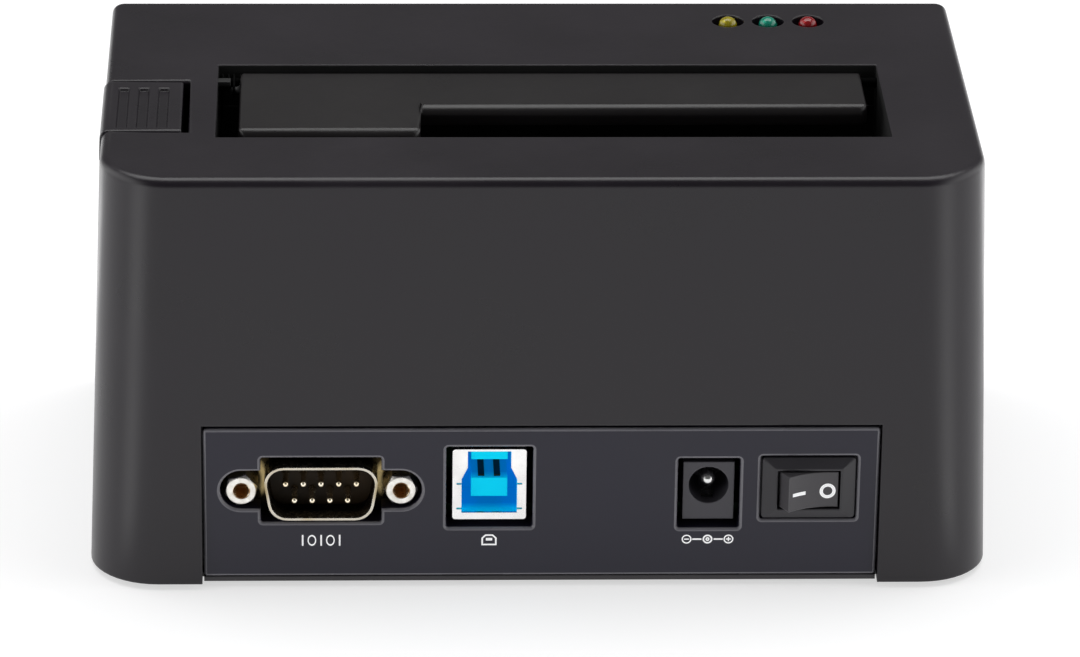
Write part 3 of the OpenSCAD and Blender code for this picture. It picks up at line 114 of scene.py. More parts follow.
def group_of(name, inputs, outputs):
    """A shader node group with its nodes, its links and its two ends."""
    tree = bpy.data.node_groups.new(name, "ShaderNodeTree")
    for label, kind, value in inputs:
        socket = tree.interface.new_socket(label, in_out="INPUT", socket_type=kind)
        if value is not None:
            socket.default_value = value
    for label, kind in outputs:
        tree.interface.new_socket(label, in_out="OUTPUT", socket_type=kind)
    start = tree.nodes.new("NodeGroupInput")
    end = tree.nodes.new("NodeGroupOutput")
    return tree, tree.nodes, tree.links, start.outputs, end.inputs


# Spark texture of a moulding tool: close rounded pits over a slow unevenness in the gloss
moulded_grain, nodes, links, given, result = group_of(
    "moulded_grain",
    [("Vector", "NodeSocketVector", None), ("Scale", "NodeSocketFloat", 1600.0)],
    [("Height", "NodeSocketFloat"), ("Cloud", "NodeSocketFloat")],
)
pits = nodes.new("ShaderNodeTexVoronoi")
pits.feature = "SMOOTH_F1"
links.new(given["Vector"], pits.inputs["Vector"])
links.new(given["Scale"], pits.inputs["Scale"])
fine = noise(nodes, links, given["Vector"], given["Scale"], detail=3.0)
height = maths(nodes, links, "MULTIPLY_ADD", pits.outputs["Distance"], pit_share, fine)
links.new(height, result["Height"])
links.new(noise(nodes, links, given["Vector"], 55.0, detail=4.0), result["Cloud"])

# Moulded edges are a little rounded, and lighter in patches: partly wear from handling, partly painted
# highlight
edge_wear_and_highlight, nodes, links, given, result = group_of(
    "edge_wear_and_highlight",
    [("Vector", "NodeSocketVector", None), ("Radius", "NodeSocketFloat", 0.0004)],
    [("Mask", "NodeSocketFloat"), ("Normal", "NodeSocketVector")],
)
bevel = nodes.new("ShaderNodeBevel")
bevel.samples = 8
links.new(given["Radius"], bevel.inputs["Radius"])
true_normal = nodes.new("ShaderNodeNewGeometry").outputs["True Normal"]
facing = vector_maths(nodes, links, "DOT_PRODUCT", bevel.outputs["Normal"], true_normal)
turned = ranged(nodes, links, facing, 0.0, 1.0, floor=0.99, ceiling=0.8)
edge_patch_noise = noise(nodes, links, given["Vector"], 160.0, detail=5.0)
patches = ranged(nodes, links, edge_patch_noise, 0.45, 1.0, floor=0.3, ceiling=0.62)
links.new(maths(nodes, links, "MULTIPLY", turned, patches), result["Mask"])
links.new(bevel.outputs["Normal"], result["Normal"])

# Fine dust that settles on what faces up, thinner where hands wipe it away
settled_dust, nodes, links, given, result = group_of(
    "settled_dust",
    [("Vector", "NodeSocketVector", None), ("Amount", "NodeSocketFloat", 0.15)],
    [("Mask", "NodeSocketFloat")],
)
upward = parted(nodes, links, nodes.new("ShaderNodeNewGeometry").outputs["Normal"])["Z"]
level = ranged(nodes, links, upward, 0.0, 1.0, floor=0.55, ceiling=1.0)
specks = noise(nodes, links, given["Vector"], 420.0, detail=6.0, roughness=0.7)
drift = noise(nodes, links, given["Vector"], 26.0)
thick = maths(nodes, links, "MULTIPLY", specks, drift)
lying = maths(nodes, links, "MULTIPLY", thick, level)
links.new(maths(nodes, links, "MULTIPLY", lying, given["Amount"]), result["Mask"])


def bare_material(name):
    """A new material with its nodes, its links, its shader's inputs and its object coordinates."""
    material = bpy.data.materials.new(name)
    material.use_nodes = True
    tree = material.node_tree
    shader = tree.nodes["Principled BSDF"]
    place = tree.nodes.new("ShaderNodeTexCoord").outputs["Object"]
    return material, tree.nodes, tree.links, shader.inputs, place


def grouped(nodes, links, tree, place, **values):
    """The outputs of a node group that is used over place with these values."""
    use = nodes.new("ShaderNodeGroup")
    use.node_tree = tree
    links.new(place, use.inputs["Vector"])
    for label, value in values.items():
        use.inputs[label].default_value = value
    return use.outputs


def blended(nodes, links, share, low, high):
    """A colour that goes from low to high with share; low may be a colour or a socket."""
    mix = nodes.new("ShaderNodeMix")
    mix.data_type = "RGBA"
    links.new(share, mix.inputs["Factor"])
    feed(links, (*low, 1.0) if isinstance(low, tuple) else low, mix.inputs["A"])
    mix.inputs["B"].default_value = (*high, 1.0)
    return mix.outputs["Result"]


def bumped(nodes, links, height, strength, depth, normal=None):
    """The normal of a bump, laid over another normal where one is given."""
    relief = nodes.new("ShaderNodeBump")
    relief.inputs["Strength"].default_value = strength
    relief.inputs["Distance"].default_value = depth
    links.new(height, relief.inputs["Height"])
    if normal is not None:
        links.new(normal, relief.inputs["Normal"])
    return relief.outputs["Normal"]


def moulded_plastic(
    name, dark, light, edge, rough, grain=1600.0, bump=0.12, radius=0.0004, dust=0.03, shine=0.5
):
    """Spark-textured plastic: two near tones, a satin gloss that drifts, edges lightened by wear and painted
    highlight, and dust.
    """
    material, nodes, links, finish, place = bare_material(name)
    texture = grouped(nodes, links, moulded_grain, place, Scale=grain)
    wear_and_highlight = grouped(nodes, links, edge_wear_and_highlight, place, Radius=radius)
    dusty = grouped(nodes, links, settled_dust, place, Amount=dust)
    tone = blended(nodes, links, ranged(nodes, links, texture["Cloud"], 0.0, 1.0), dark, light)
    wear_and_highlight_tone = blended(nodes, links, wear_and_highlight["Mask"], tone, edge)
    links.new(blended(nodes, links, dusty["Mask"], wear_and_highlight_tone, dust_tone), finish["Base Color"])
    gloss = ranged(nodes, links, texture["Cloud"], rough - 0.04, rough + 0.05)
    links.new(gloss, finish["Roughness"])
    finish["IOR"].default_value = plastic_ior
    finish["Specular IOR Level"].default_value = shine
    normal = bumped(nodes, links, texture["Height"], bump, pit_depth, wear_and_highlight["Normal"])
    links.new(normal, finish["Normal"])
    return material


def dress(material, *names):
    """Puts a finish on CAD nodes in place of the plain one they came with."""
    for name in names:
        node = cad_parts[name]
        node.data.materials.clear()
        node.data.materials.append(material)


# The plate is painted several times lighter than the housing's charcoal: painted light from the table below
base_grey_painted_light = moulded_plastic(
    "base_charcoal_painted_light", (0.030, 0.027, 0.031), (0.036, 0.033, 0.037), (0.06, 0.058, 0.061), 0.36, radius=0.0003
)
dress(base_grey_painted_light, "base_plate")

# Feet and case screws
# Four low rubber feet, glued in shallow seats under the corners, with the dull bloom of soft rubber.
# The steel case screws close the housing from below.
bloom_depth = 0.00006
rubber, nodes, links, finish, place = bare_material("foot_rubber")
bloom = noise(nodes, links, place, 700.0, detail=6.0)
bloomed = ranged(nodes, links, bloom, 0.0, 1.0)
bloom_tone = blended(nodes, links, bloomed, (0.012, 0.012, 0.012), (0.03, 0.03, 0.03))
links.new(bloom_tone, finish["Base Color"])
links.new(ranged(nodes, links, bloom, 0.75, 0.92), finish["Roughness"])
links.new(bumped(nodes, links, bloom, 0.2, bloom_depth), finish["Normal"])
dress(rubber, "rubber_feet")

line_depth = 0.00003


def plated_metal(
    name, colour, tint, edge, rough, grain=900.0, stretch=(1.0, 1.0, 1.0), bump=0.08, radius=0.00012
):
    """Turned, stamped or drawn metal: tool lines stretched one way, stained patches, edges brightened by wear
    and painted highlight.
    """
    material, nodes, links, finish, place = bare_material(name)
    turn = nodes.new("ShaderNodeMapping")
    turn.inputs["Scale"].default_value = stretch
    links.new(place, turn.inputs["Vector"])
    lines = noise(nodes, links, turn.outputs["Vector"], grain, detail=4.0)
    stain = noise(nodes, links, place, 260.0, detail=5.0)
    wear_and_highlight = grouped(nodes, links, edge_wear_and_highlight, place, Radius=radius)
    stained = ranged(nodes, links, stain, 0.0, 1.0, floor=0.38, ceiling=0.68)
    tone = blended(nodes, links, stained, colour, tint)
    links.new(blended(nodes, links, wear_and_highlight["Mask"], tone, edge), finish["Base Color"])
    finish["Metallic"].default_value = 1.0
    links.new(ranged(nodes, links, lines, rough - 0.08, rough + 0.1), finish["Roughness"])
    normal = bumped(nodes, links, lines, bump, line_depth, wear_and_highlight["Normal"])
    links.new(normal, finish["Normal"])
    return material


screw_steel = plated_metal("screw_steel", (0.42, 0.42, 0.43), (0.30, 0.30, 0.31), (0.66, 0.66, 0.67), 0.34)
dress(screw_steel, "case_screws", "well_screws", "board_screws", "led_board_screws")

# Main board and its parts
# A glass-epoxy board under green lacquer, with copper tracks that show as paler lines, on four posts.
# Its chips are black epoxy with tinned legs; coils, cans and the crystal stand round them.
track_depth = 0.00004
board_lacquer, nodes, links, finish, place = bare_material("board_lacquer")
tracks = nodes.new("ShaderNodeTexBrick")
tracks.inputs["Scale"].default_value = 260.0
tracks.inputs["Mortar Size"].default_value = 0.06
for label, grey in (("Color1", 0.0), ("Color2", 0.35), ("Mortar", 1.0)):
    tracks.inputs[label].default_value = (grey, grey, grey, 1.0)
links.new(place, tracks.inputs["Vector"])
weave = noise(nodes, links, place, 900.0)
lacquer = blended(nodes, links, tracks.outputs["Color"], (0.002, 0.012, 0.005), (0.006, 0.034, 0.012))
links.new(lacquer, finish["Base Color"])
links.new(ranged(nodes, links, weave, 0.28, 0.42), finish["Roughness"])
links.new(bumped(nodes, links, tracks.outputs["Fac"], 0.3, track_depth), finish["Normal"])
dress(board_lacquer, "main_board", "led_board")

leg_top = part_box("main_board")[1][2] + 0.00032
chip_epoxy, nodes, links, finish, place = bare_material("chip_epoxy_and_legs")
legs = maths(nodes, links, "LESS_THAN", parted(nodes, links, place)["Z"], leg_top)
matt = noise(nodes, links, place, 2600.0, detail=4.0)
mottled = ranged(nodes, links, matt, 0.0, 1.0)
epoxy = blended(nodes, links, mottled, (0.011, 0.011, 0.012), (0.022, 0.022, 0.023))
links.new(blended(nodes, links, legs, epoxy, (0.55, 0.55, 0.55)), finish["Base Color"])
links.new(legs, finish["Metallic"])
links.new(ranged(nodes, links, matt, 0.42, 0.58), finish["Roughness"])
dress(chip_epoxy, "bridge_chip", "memory_chip", "serial_driver_chip")

ferrite = moulded_plastic(
    "coil_ferrite", (0.018, 0.017, 0.017), (0.03, 0.028, 0.027), (0.05, 0.048, 0.047), 0.62,
    grain=2400.0, bump=0.3,
)
dress(ferrite, "power_inductors")
drawn_can = plated_metal(
    "drawn_can", (0.52, 0.52, 0.53), (0.44, 0.44, 0.45), (0.7, 0.7, 0.7), 0.26,
    grain=1200.0, stretch=(1.0, 1.0, 0.08),
)
dress(drawn_can, "filter_capacitors", "crystal")

# Drive connector
# A black glass-filled block on the board that comes up through the well's floor. The bare drive's
# edge plugs over its two tongues, whose gold springs show as a row of thin lines.
black_filled = moulded_plastic(
    "black_filled_plastic", (0.0075, 0.0075, 0.008), (0.011, 0.011, 0.0115), (0.03, 0.03, 0.031), 0.5,
    grain=2200.0, bump=0.16,
)
dress(black_filled, "sata_socket", "led_cable_header")
gold_flash = plated_metal("gold_flash", (0.72, 0.48, 0.16), (0.58, 0.37, 0.11), (0.86, 0.66, 0.3), 0.24)
dress(gold_flash, "sata_contacts", "switch_terminals")

# Serial plug
# A nine-pin plug: a D-shaped shell drawn from sheet with a yellow chromate stain and painted shade
# inside, a dark insert, gold pins with polished tips, and two plated jackscrews whose threaded holes
# show raw brass with painted glints.
chromate = plated_metal("chromate_sheet", (0.62, 0.58, 0.50), (0.50, 0.42, 0.28), (0.92, 0.88, 0.80), 0.24)


def parts_of(material):
    """A finished material's nodes, links and object coordinates, to add to it."""
    tree = material.node_tree
    return tree.nodes, tree.links, tree.nodes["Texture Coordinate"].outputs["Object"]


def repainted(material, share, tone):
    """Lays a further tone over a material's colour, where share says."""
    nodes, links, _ = parts_of(material)
    colour = nodes["Principled BSDF"].inputs["Base Color"]
    links.new(blended(nodes, links, share, colour.links[0].from_socket, tone), colour)


def shaded_in_recess(material, mouth, near, far, deep):
    """Paints shade into a finish: it falls off to a deep tone between two depths behind a mouth, as in a
    recess.
    """
    nodes, links, place = parts_of(material)
    depth = parted(nodes, links, place)["Y"]
    repainted(material, ranged(nodes, links, depth, 0.0, 1.0, mouth + near, mouth + far), deep)


jack_low, jack_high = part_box("serial_jackscrews")
plug_x = (jack_low[0] + jack_high[0]) / 2
plug_z = (jack_low[2] + jack_high[2]) / 2
jack_half_pitch = 0.0125


def jack_reach(nodes, links, place):
    """The distance from the nearer jackscrew's axis, and the way from it."""
    centred = vector_maths(nodes, links, "SUBTRACT", place, (plug_x, 0.0, plug_z))
    folded = vector_maths(nodes, links, "ABSOLUTE", centred)
    flat = vector_maths(nodes, links, "MULTIPLY", folded, (1.0, 0.0, 1.0))
    way = vector_maths(nodes, links, "SUBTRACT", flat, (jack_half_pitch, 0.0, 0.0))
    return vector_maths(nodes, links, "LENGTH", way), way


# The sheet is painted darker inside the shell as shade, and a painted glint rings each jackscrew
shaded_in_recess(chromate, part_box("serial_shell")[0][1], 0.0008, 0.0030, (0.020, 0.015, 0.007))
nodes, links, place = parts_of(chromate)
reach, _ = jack_reach(nodes, links, place)
ring_inside = ranged(nodes, links, reach, 0.0, 1.0, floor=0.0028, ceiling=0.0033)
ring_outside = ranged(nodes, links, reach, 1.0, 0.0, floor=0.0037, ceiling=0.0045)
repainted(chromate, maths(nodes, links, "MULTIPLY", ring_inside, ring_outside), (0.34, 0.26, 0.12))
dress(chromate, "serial_shell")
dark_insert = moulded_plastic(
    "dark_insert", (0.007, 0.0052, 0.003), (0.034, 0.020, 0.008), (0.040, 0.026, 0.012), 0.5,
    grain=2400.0, bump=0.1, shine=0.2,
)
dress(dark_insert, "serial_insulator")
pin_gold = plated_metal("pin_gold", (1.0, 0.93, 0.78), (0.95, 0.82, 0.58), (1.0, 0.97, 0.90), 0.20)
dress(pin_gold, "serial_pins")

jack_bore_radius = 0.00142
bore_rim = 0.00014
raw_brass = (0.42, 0.22, 0.08)
painted_thread_glint = (0.95, 0.86, 0.66)
glints_round = 3.0
thread_depth = 0.0002
jackscrew, nodes, links, finish, place = bare_material("plated_jackscrew")
reach, way = jack_reach(nodes, links, place)
bore = ranged(nodes, links, reach, 0.0, 1.0, jack_bore_radius, jack_bore_radius - bore_rim)
scuffs = noise(nodes, links, place, 1100.0, detail=4.0)
scuffed = ranged(nodes, links, scuffs, 0.0, 1.0)
plating = blended(nodes, links, scuffed, (0.90, 0.88, 0.84), (0.72, 0.69, 0.63))
plated_or_raw = blended(nodes, links, bore, plating, raw_brass)
# Three spokes of painted glint lie on the thread inside each hole
towards = parted(nodes, links, way)
bearing = maths(nodes, links, "ARCTAN2", towards["X"], towards["Z"])
spokes = maths(nodes, links, "COSINE", maths(nodes, links, "MULTIPLY", bearing, glints_round))
bright = ranged(nodes, links, spokes, 0.0, 0.8, floor=-0.55, ceiling=-0.95)
painted_glint_share = maths(nodes, links, "MULTIPLY", bright, bore)
links.new(blended(nodes, links, painted_glint_share, plated_or_raw, painted_thread_glint), finish["Base Color"])
finish["Metallic"].default_value = 1.0
links.new(ranged(nodes, links, scuffs, 0.24, 0.40), finish["Roughness"])
thread = nodes.new("ShaderNodeTexWave")
thread.bands_direction = "Y"
thread.inputs["Scale"].default_value = 620.0
thread.inputs["Distortion"].default_value = 0.0
links.new(place, thread.inputs["Vector"])
ridges = maths(nodes, links, "MULTIPLY", thread.outputs["Fac"], bore)
wear_and_highlight = grouped(nodes, links, edge_wear_and_highlight, place, Radius=0.00025)
links.new(bumped(nodes, links, ridges, 0.8, thread_depth, wear_and_highlight["Normal"]), finish["Normal"])
dress(jackscrew, "serial_jackscrews")

# USB socket
# A square socket folded from nickel-plated sheet, round a moulded block in bright blue whose tongue
# carries the contacts. The sheet shows drawn lines and bright cut edges.
nickel = plated_metal(
    "nickel_sheet", (0.90, 0.89, 0.88), (0.80, 0.79, 0.78), (0.97, 0.97, 0.96), 0.24,
    grain=600.0, stretch=(1.0, 0.15, 1.0), bump=0.02,
)
dress(nickel, "usb_shell")
dull_gold = plated_metal("dull_gold", (0.060, 0.040, 0.018), (0.040, 0.027, 0.012), (0.12, 0.085, 0.04), 0.34)
dress(dull_gold, "usb_contacts")
port_blue = moulded_plastic(
    "port_blue", (0.0003, 0.70, 0.97), (0.0003, 0.76, 1.0), (0.004, 0.80, 1.0), 0.40,
    grain=2600.0, bump=0.03, radius=0.0002, dust=0.0, shine=0.06,
)
# The blue is painted deeper behind the socket's mouth: painted shade
shaded_in_recess(port_blue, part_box("usb_shell")[0][1], 0.0016, 0.0036, (0.0002, 0.14, 0.75))


def painted_glow(material, colour, strength):
    """Gives a material a painted glow, a little light of its own though it is no lamp, to reach the tone in
    the photograph.
    """
    finish = material.node_tree.nodes["Principled BSDF"].inputs
    finish["Emission Color"].default_value = (*colour, 1.0)
    finish["Emission Strength"].default_value = strength


# A painted glow on the blue plastic, which is no lamp
painted_glow(port_blue, (0.0, 0.60, 1.0), 0.18)
dress(port_blue, "usb_insulator")

# Power inlet
# A low-voltage barrel inlet: a satin black block with a round mouth, a nickel centre pin and a
# springy side leaf that wipes the plug's sleeve.
inlet_black = moulded_plastic(
    "inlet_black", (0.043, 0.041, 0.050), (0.050, 0.048, 0.058), (0.095, 0.093, 0.105), 0.34,
    grain=2600.0, bump=0.05, radius=0.0003,
)
dress(inlet_black, "dc_jack_body")
tinned = plated_metal("tinned_metal", (0.78, 0.78, 0.77), (0.66, 0.65, 0.63), (0.95, 0.95, 0.94), 0.22)
dress(tinned, "dc_jack_pin", "dc_jack_spring", "led_leads")

# Rocker switch
# A snap-in miniature rocker: a bevelled nylon bezel, a dished rocker on two trunnions, blades behind.
# The bar and the ring for on and off are pad-printed on its face in white ink.
nylon = moulded_plastic(
    "switch_nylon", (0.021, 0.0198, 0.0235), (0.025, 0.0235, 0.028), (0.070, 0.068, 0.075), 0.40,
    grain=2000.0, bump=0.10, radius=0.0003,
)
dress(nylon, "switch_body")
rocker_nylon = moulded_plastic(
    "rocker_nylon", (0.052, 0.049, 0.054), (0.060, 0.057, 0.063), (0.13, 0.127, 0.134), 0.38,
    grain=2000.0, bump=0.10, radius=0.0003,
)
dress(rocker_nylon, "power_rocker")
lead_red = moulded_plastic(
    "lead_sleeve", (0.30, 0.012, 0.010), (0.36, 0.016, 0.013), (0.42, 0.05, 0.045), 0.45,
    grain=2000.0, bump=0.05,
)
dress(lead_red, "switch_leads")

white_ink, nodes, links, finish, place = bare_material("white_ink")
speckle = noise(nodes, links, place, 6000.0, detail=3.0)
thin_ink = ranged(nodes, links, speckle, 0.0, 1.0, floor=0.35, ceiling=0.75)
links.new(blended(nodes, links, thin_ink, (0.95, 0.95, 0.96), (0.80, 0.80, 0.82)), finish["Base Color"])
links.new(ranged(nodes, links, speckle, 0.42, 0.58), finish["Roughness"])
# A painted glow on the white ink, which is no lamp
painted_glow(white_ink, (1.0, 1.0, 1.0), 0.2)
ink_film = 0.00004
facing_rear = (math.pi / 2, 0.0, 0.0)
ring_corners = 40


def ink_bar(x, y, z, wide, tall):
    """A flat bar of ink, seen from the rear."""
    bpy.ops.object.select_all(action="DESELECT")
    bpy.ops.mesh.primitive_plane_add(size=1.0, location=(x, y, z), rotation=facing_rear)
    bar = bpy.context.object
    bar.scale = (wide, tall, 1.0)
    bpy.ops.object.transform_apply(location=True, rotation=True, scale=True)
    return bar


def ink_ring(x, y, z, radius, stroke, squeeze=1.0):
    """A flat ring of ink, drawn narrower than tall where squeeze is under 1."""
    bpy.ops.object.select_all(action="DESELECT")
    bpy.ops.mesh.primitive_circle_add(
        vertices=ring_corners, radius=radius, fill_type="NGON", location=(x, y, z), rotation=facing_rear
    )
    ring = bpy.context.object
    bpy.ops.object.mode_set(mode="EDIT")
    bpy.ops.mesh.select_all(action="SELECT")
    bpy.ops.mesh.inset(thickness=stroke)
    bpy.ops.mesh.delete(type="FACE")
    bpy.ops.object.mode_set(mode="OBJECT")
    ring.scale = (squeeze, 1.0, 1.0)
    bpy.ops.object.transform_apply(location=True, rotation=True, scale=True)
    return ring


def joined(name, pieces):
    """The pieces as one object."""
    bpy.ops.object.select_all(action="DESELECT")
    for piece in pieces:
        piece.select_set(True)
    bpy.context.view_layer.objects.active = pieces[0]
    bpy.ops.object.join()
    pieces[0].name = name
    return pieces[0]


def applied(piece, kind, **settings):
    """Puts a modifier with these settings on a piece and applies it."""
    bpy.ops.object.select_all(action="DESELECT")
    piece.select_set(True)
    bpy.context.view_layer.objects.active = piece
    modifier = piece.modifiers.new(kind.lower(), kind)
    for setting, value in settings.items():
        setattr(modifier, setting, value)
    bpy.ops.object.modifier_apply(modifier=modifier.name)


# The marks are drawn flat in front of the rocker, then pressed onto its dished face
switch_low, switch_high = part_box("switch_body")
switch_x = (switch_low[0] + switch_high[0]) / 2
in_front = switch_low[1] - 0.002
mark_z = (switch_low[2] + switch_high[2]) / 2 - 0.00025
bar_left, bar_wide, bar_tall = 0.00159, 0.00204, 0.00058
ring_right, ring_radius, ring_stroke = 0.00296, 0.00127, 0.00052
on_bar = ink_bar(switch_x - bar_left, in_front, mark_z, bar_wide, bar_tall)
off_ring = ink_ring(switch_x + ring_right, in_front, mark_z, ring_radius, ring_stroke)
rocker_marks = joined("rocker_marks", [on_bar, off_ring])
bpy.ops.object.mode_set(mode="EDIT")
bpy.ops.mesh.select_all(action="SELECT")
bpy.ops.mesh.subdivide(number_cuts=3)
bpy.ops.object.mode_set(mode="OBJECT")
applied(
    rocker_marks,
    "SHRINKWRAP",
    target=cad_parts["power_rocker"],
    wrap_method="PROJECT",
    use_project_y=True,
    use_positive_direction=True,
    use_negative_direction=True,
)
applied(rocker_marks, "SOLIDIFY", thickness=2 * ink_film, offset=0.0)
rocker_marks.data.materials.append(white_ink)
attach(rocker_marks, "rocker")

# Rear panel
# The connector panel is a separate moulding, dropped into the housing's back. Every edge on its face
# is softly broken, and the rounds get a much paler finish, a painted highlight, so the outline and each
# opening show a thin line of light.
panel_grey = moulded_plastic(
    "panel_charcoal", (0.0080, 0.0070, 0.0180), (0.0100, 0.0088, 0.0215), (0.045, 0.044, 0.053), 0.38,
    radius=0.0003,
)
# The rounds of the broken edges get this much paler finish: a painted highlight, with a little polish
panel_edge_highlight = moulded_plastic(
    "panel_edge_painted_highlight", (0.125, 0.122, 0.138), (0.165, 0.161, 0.180), (0.21, 0.206, 0.228), 0.28,
    bump=0.04, radius=0.0002,
)
broken_edge = 0.00045
edge_steps = 3
weld = 0.000002
flat_turn = math.radians(0.5)
smooth_turn = math.radians(32.0)


def merged_copy(node, name, *finishes):
    """A copy of a CAD node's mesh, its triangles joined into whole faces, open in edit mode."""
    piece = bpy.data.objects.new(name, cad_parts[node].data.copy())
    piece.data.materials.clear()
    for finish in finishes:
        piece.data.materials.append(finish)
    bpy.context.scene.collection.objects.link(piece)
    bpy.ops.object.select_all(action="DESELECT")
    piece.select_set(True)
    bpy.context.view_layer.objects.active = piece
    bpy.ops.object.mode_set(mode="EDIT")
    bpy.ops.mesh.select_all(action="SELECT")
    bpy.ops.mesh.customdata_custom_splitnormals_clear()
    bpy.ops.mesh.remove_doubles(threshold=weld)
    bpy.ops.mesh.dissolve_limited(angle_limit=flat_turn)
    return piece


def break_edges(piece, wanted, width, finish=0):
    """Rounds the sharp edges that wanted picks, in edit mode, and gives the round its own finish."""
    bpy.ops.mesh.select_mode(type="EDGE")
    bpy.ops.mesh.select_all(action="DESELECT")
    mesh = bmesh.from_edit_mesh(piece.data)
    for edge in mesh.edges:
        if edge.is_manifold and edge.calc_face_angle() > smooth_turn and wanted(edge):
            edge.select_set(True)
    bmesh.update_edit_mesh(piece.data)
    bpy.ops.mesh.bevel(
        offset=width, segments=edge_steps, clamp_overlap=False, loop_slide=False, material=finish
    )


def evenly_shaded(piece):
    """Leaves edit mode, and shades curves smooth and flats flat."""
    bpy.ops.object.mode_set(mode="OBJECT")
    bpy.ops.object.shade_smooth_by_angle(angle=smooth_turn)
    applied(piece, "WEIGHTED_NORMAL", keep_sharp=True)


panel_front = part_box("rear_panel")[0][1]
panel_face = merged_copy("rear_panel", "panel_face", panel_grey, panel_edge_highlight)
break_edges(panel_face, lambda edge: all(v.co.y < panel_front + weld for v in edge.verts), broken_edge, 1)
evenly_shaded(panel_face)
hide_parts("rear_panel")
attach(panel_face, "housing")

# Panel marks
# Small signs pad-printed under the ports in the same white ink: bars and rings for serial data, a
# socket's outline, and the polarity of the power plug, positive at its middle.
ink_y = panel_front + ink_film / 4
sign_z = 0.0081
sign_tall = 0.0019
sign_stroke = 0.00026


def port_x(node):
    """The middle of a port, across the panel."""
    low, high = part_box(node)
    return (low[0] + high[0]) / 2


def printed(name, pieces):
    """The strokes of a sign as one film of ink that rides with the panel."""
    sign = joined(name, pieces)
    applied(sign, "SOLIDIFY", thickness=ink_film, offset=0.0)
    sign.data.materials.append(white_ink)
    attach(sign, "housing")


data_pitch = 0.00145
ring_squeeze = 0.72
strokes = []
for place_in_row in range(-2, 3):
    x = port_x("serial_shell") + place_in_row * data_pitch
    if place_in_row % 2:
        strokes.append(ink_ring(x, ink_y, sign_z, sign_tall / 2, sign_stroke, ring_squeeze))
    else:
        strokes.append(ink_bar(x, ink_y, sign_z, sign_stroke, sign_tall))
printed("serial_sign", strokes)

socket_x = port_x("usb_shell")
socket_wide = 0.0024
socket_corner = 0.0006
tongue_wide, tongue_tall, tongue_up = 0.0010, 0.00045, 0.0001
outline = ink_bar(socket_x, ink_y, sign_z, socket_wide, sign_tall)
bpy.ops.object.mode_set(mode="EDIT")
bpy.ops.mesh.select_mode(type="VERT")
bpy.ops.mesh.select_all(action="DESELECT")
corners = bmesh.from_edit_mesh(outline.data)
for corner in corners.verts:
    corner.select_set(corner.co.z > sign_z)
bmesh.update_edit_mesh(outline.data)
bpy.ops.mesh.bevel(offset=socket_corner, affect="VERTICES")
bpy.ops.mesh.select_all(action="SELECT")
bpy.ops.mesh.inset(thickness=sign_stroke)
bpy.ops.mesh.delete(type="FACE")
bpy.ops.object.mode_set(mode="OBJECT")
tongue = ink_bar(socket_x, ink_y, sign_z + tongue_up, tongue_wide, tongue_tall)
printed("usb_sign", [outline, tongue])

plug_sign_x = port_x("dc_jack_body")
pole_radius = 0.00078
pole_offset = 0.0033
pole_stroke = sign_stroke * 0.8
dot_radius = pole_radius * 0.42
dot_stroke = pole_radius * 0.30
wire_long = 0.00145
wire_offset = 0.00168
strokes = [ink_ring(plug_sign_x, ink_y, sign_z, pole_radius, sign_stroke)]
strokes.append(ink_ring(plug_sign_x, ink_y, sign_z, dot_radius, dot_stroke))
for side in (-1, 1):
    pole_x = plug_sign_x + side * pole_offset
    strokes.append(ink_ring(pole_x, ink_y, sign_z, pole_radius, pole_stroke))
    strokes.append(ink_bar(plug_sign_x + side * wire_offset, ink_y, sign_z, wire_long, sign_stroke))
    strokes.append(ink_bar(pole_x, ink_y, sign_z, pole_radius, pole_stroke))
strokes.append(ink_bar(pole_x, ink_y, sign_z, pole_stroke, pole_radius))
printed("polarity_sign", strokes)

# Drive well
# The shaft that guides a bare drive down to its connector, moulded in matt black and hung by ears
# from the housing's roof.
well_black_and_shade = moulded_plastic(
    "well_black_and_shade", (0.0035, 0.0035, 0.0037), (0.0050, 0.0050, 0.0052), (0.012, 0.012, 0.012), 0.60,
    grain=1400.0, bump=0.2,
)
dress(well_black_and_shade, "drive_well")

# Upper housing
# One deep moulding makes the top and the four drafted walls, in charcoal ABS with a fine texture.
# The slot for the drive, the key's notch and three lamp holes are cored through its top. The slot's
# inside is painted matt black, as shade.
charcoal = moulded_plastic(
    "charcoal_housing", (0.0075, 0.0055, 0.0085), (0.0100, 0.0074, 0.0113), (0.030, 0.028, 0.031), 0.30,
    radius=0.0005,
)
housing_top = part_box("upper_shell")[1][2]
top_edge = 0.00015
notch_edge = 0.0006
notch_x = -0.0535
slot_low, slot_high = (-0.0508, -0.0205), (0.0547, 0.0094)


def finish_faces(piece, wanted, finish):
    """Gives the faces whose middles wanted picks, in edit mode, another of the piece's finishes."""
    bpy.ops.mesh.select_mode(type="FACE")
    bpy.ops.mesh.select_all(action="DESELECT")
    mesh = bmesh.from_edit_mesh(piece.data)
    for face in mesh.faces:
        face.select_set(wanted(face.calc_center_median()))
    bmesh.update_edit_mesh(piece.data)
    piece.active_material_index = finish
    bpy.ops.object.material_slot_assign()


def in_slot(place):
    """Whether a point lies in the slot, under the top's broken edge."""
    across = slot_low[0] - weld < place.x < slot_high[0] + weld
    along = slot_low[1] - weld < place.y < slot_high[1] + weld
    return across and along and place.z < housing_top - 1.5 * top_edge


housing_skin = merged_copy("upper_shell", "housing_skin", charcoal, well_black_and_shade)
for at_notch, width in ((True, notch_edge), (False, top_edge)):
    break_edges(
        housing_skin,
        lambda edge: all(v.co.z > housing_top - weld and (v.co.x < notch_x) == at_notch for v in edge.verts),
        width,
    )
# Faces inside the slot take the well's black: painted shade
finish_faces(housing_skin, in_slot, 1)
evenly_shaded(housing_skin)
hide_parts("upper_shell")
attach(housing_skin, "housing")

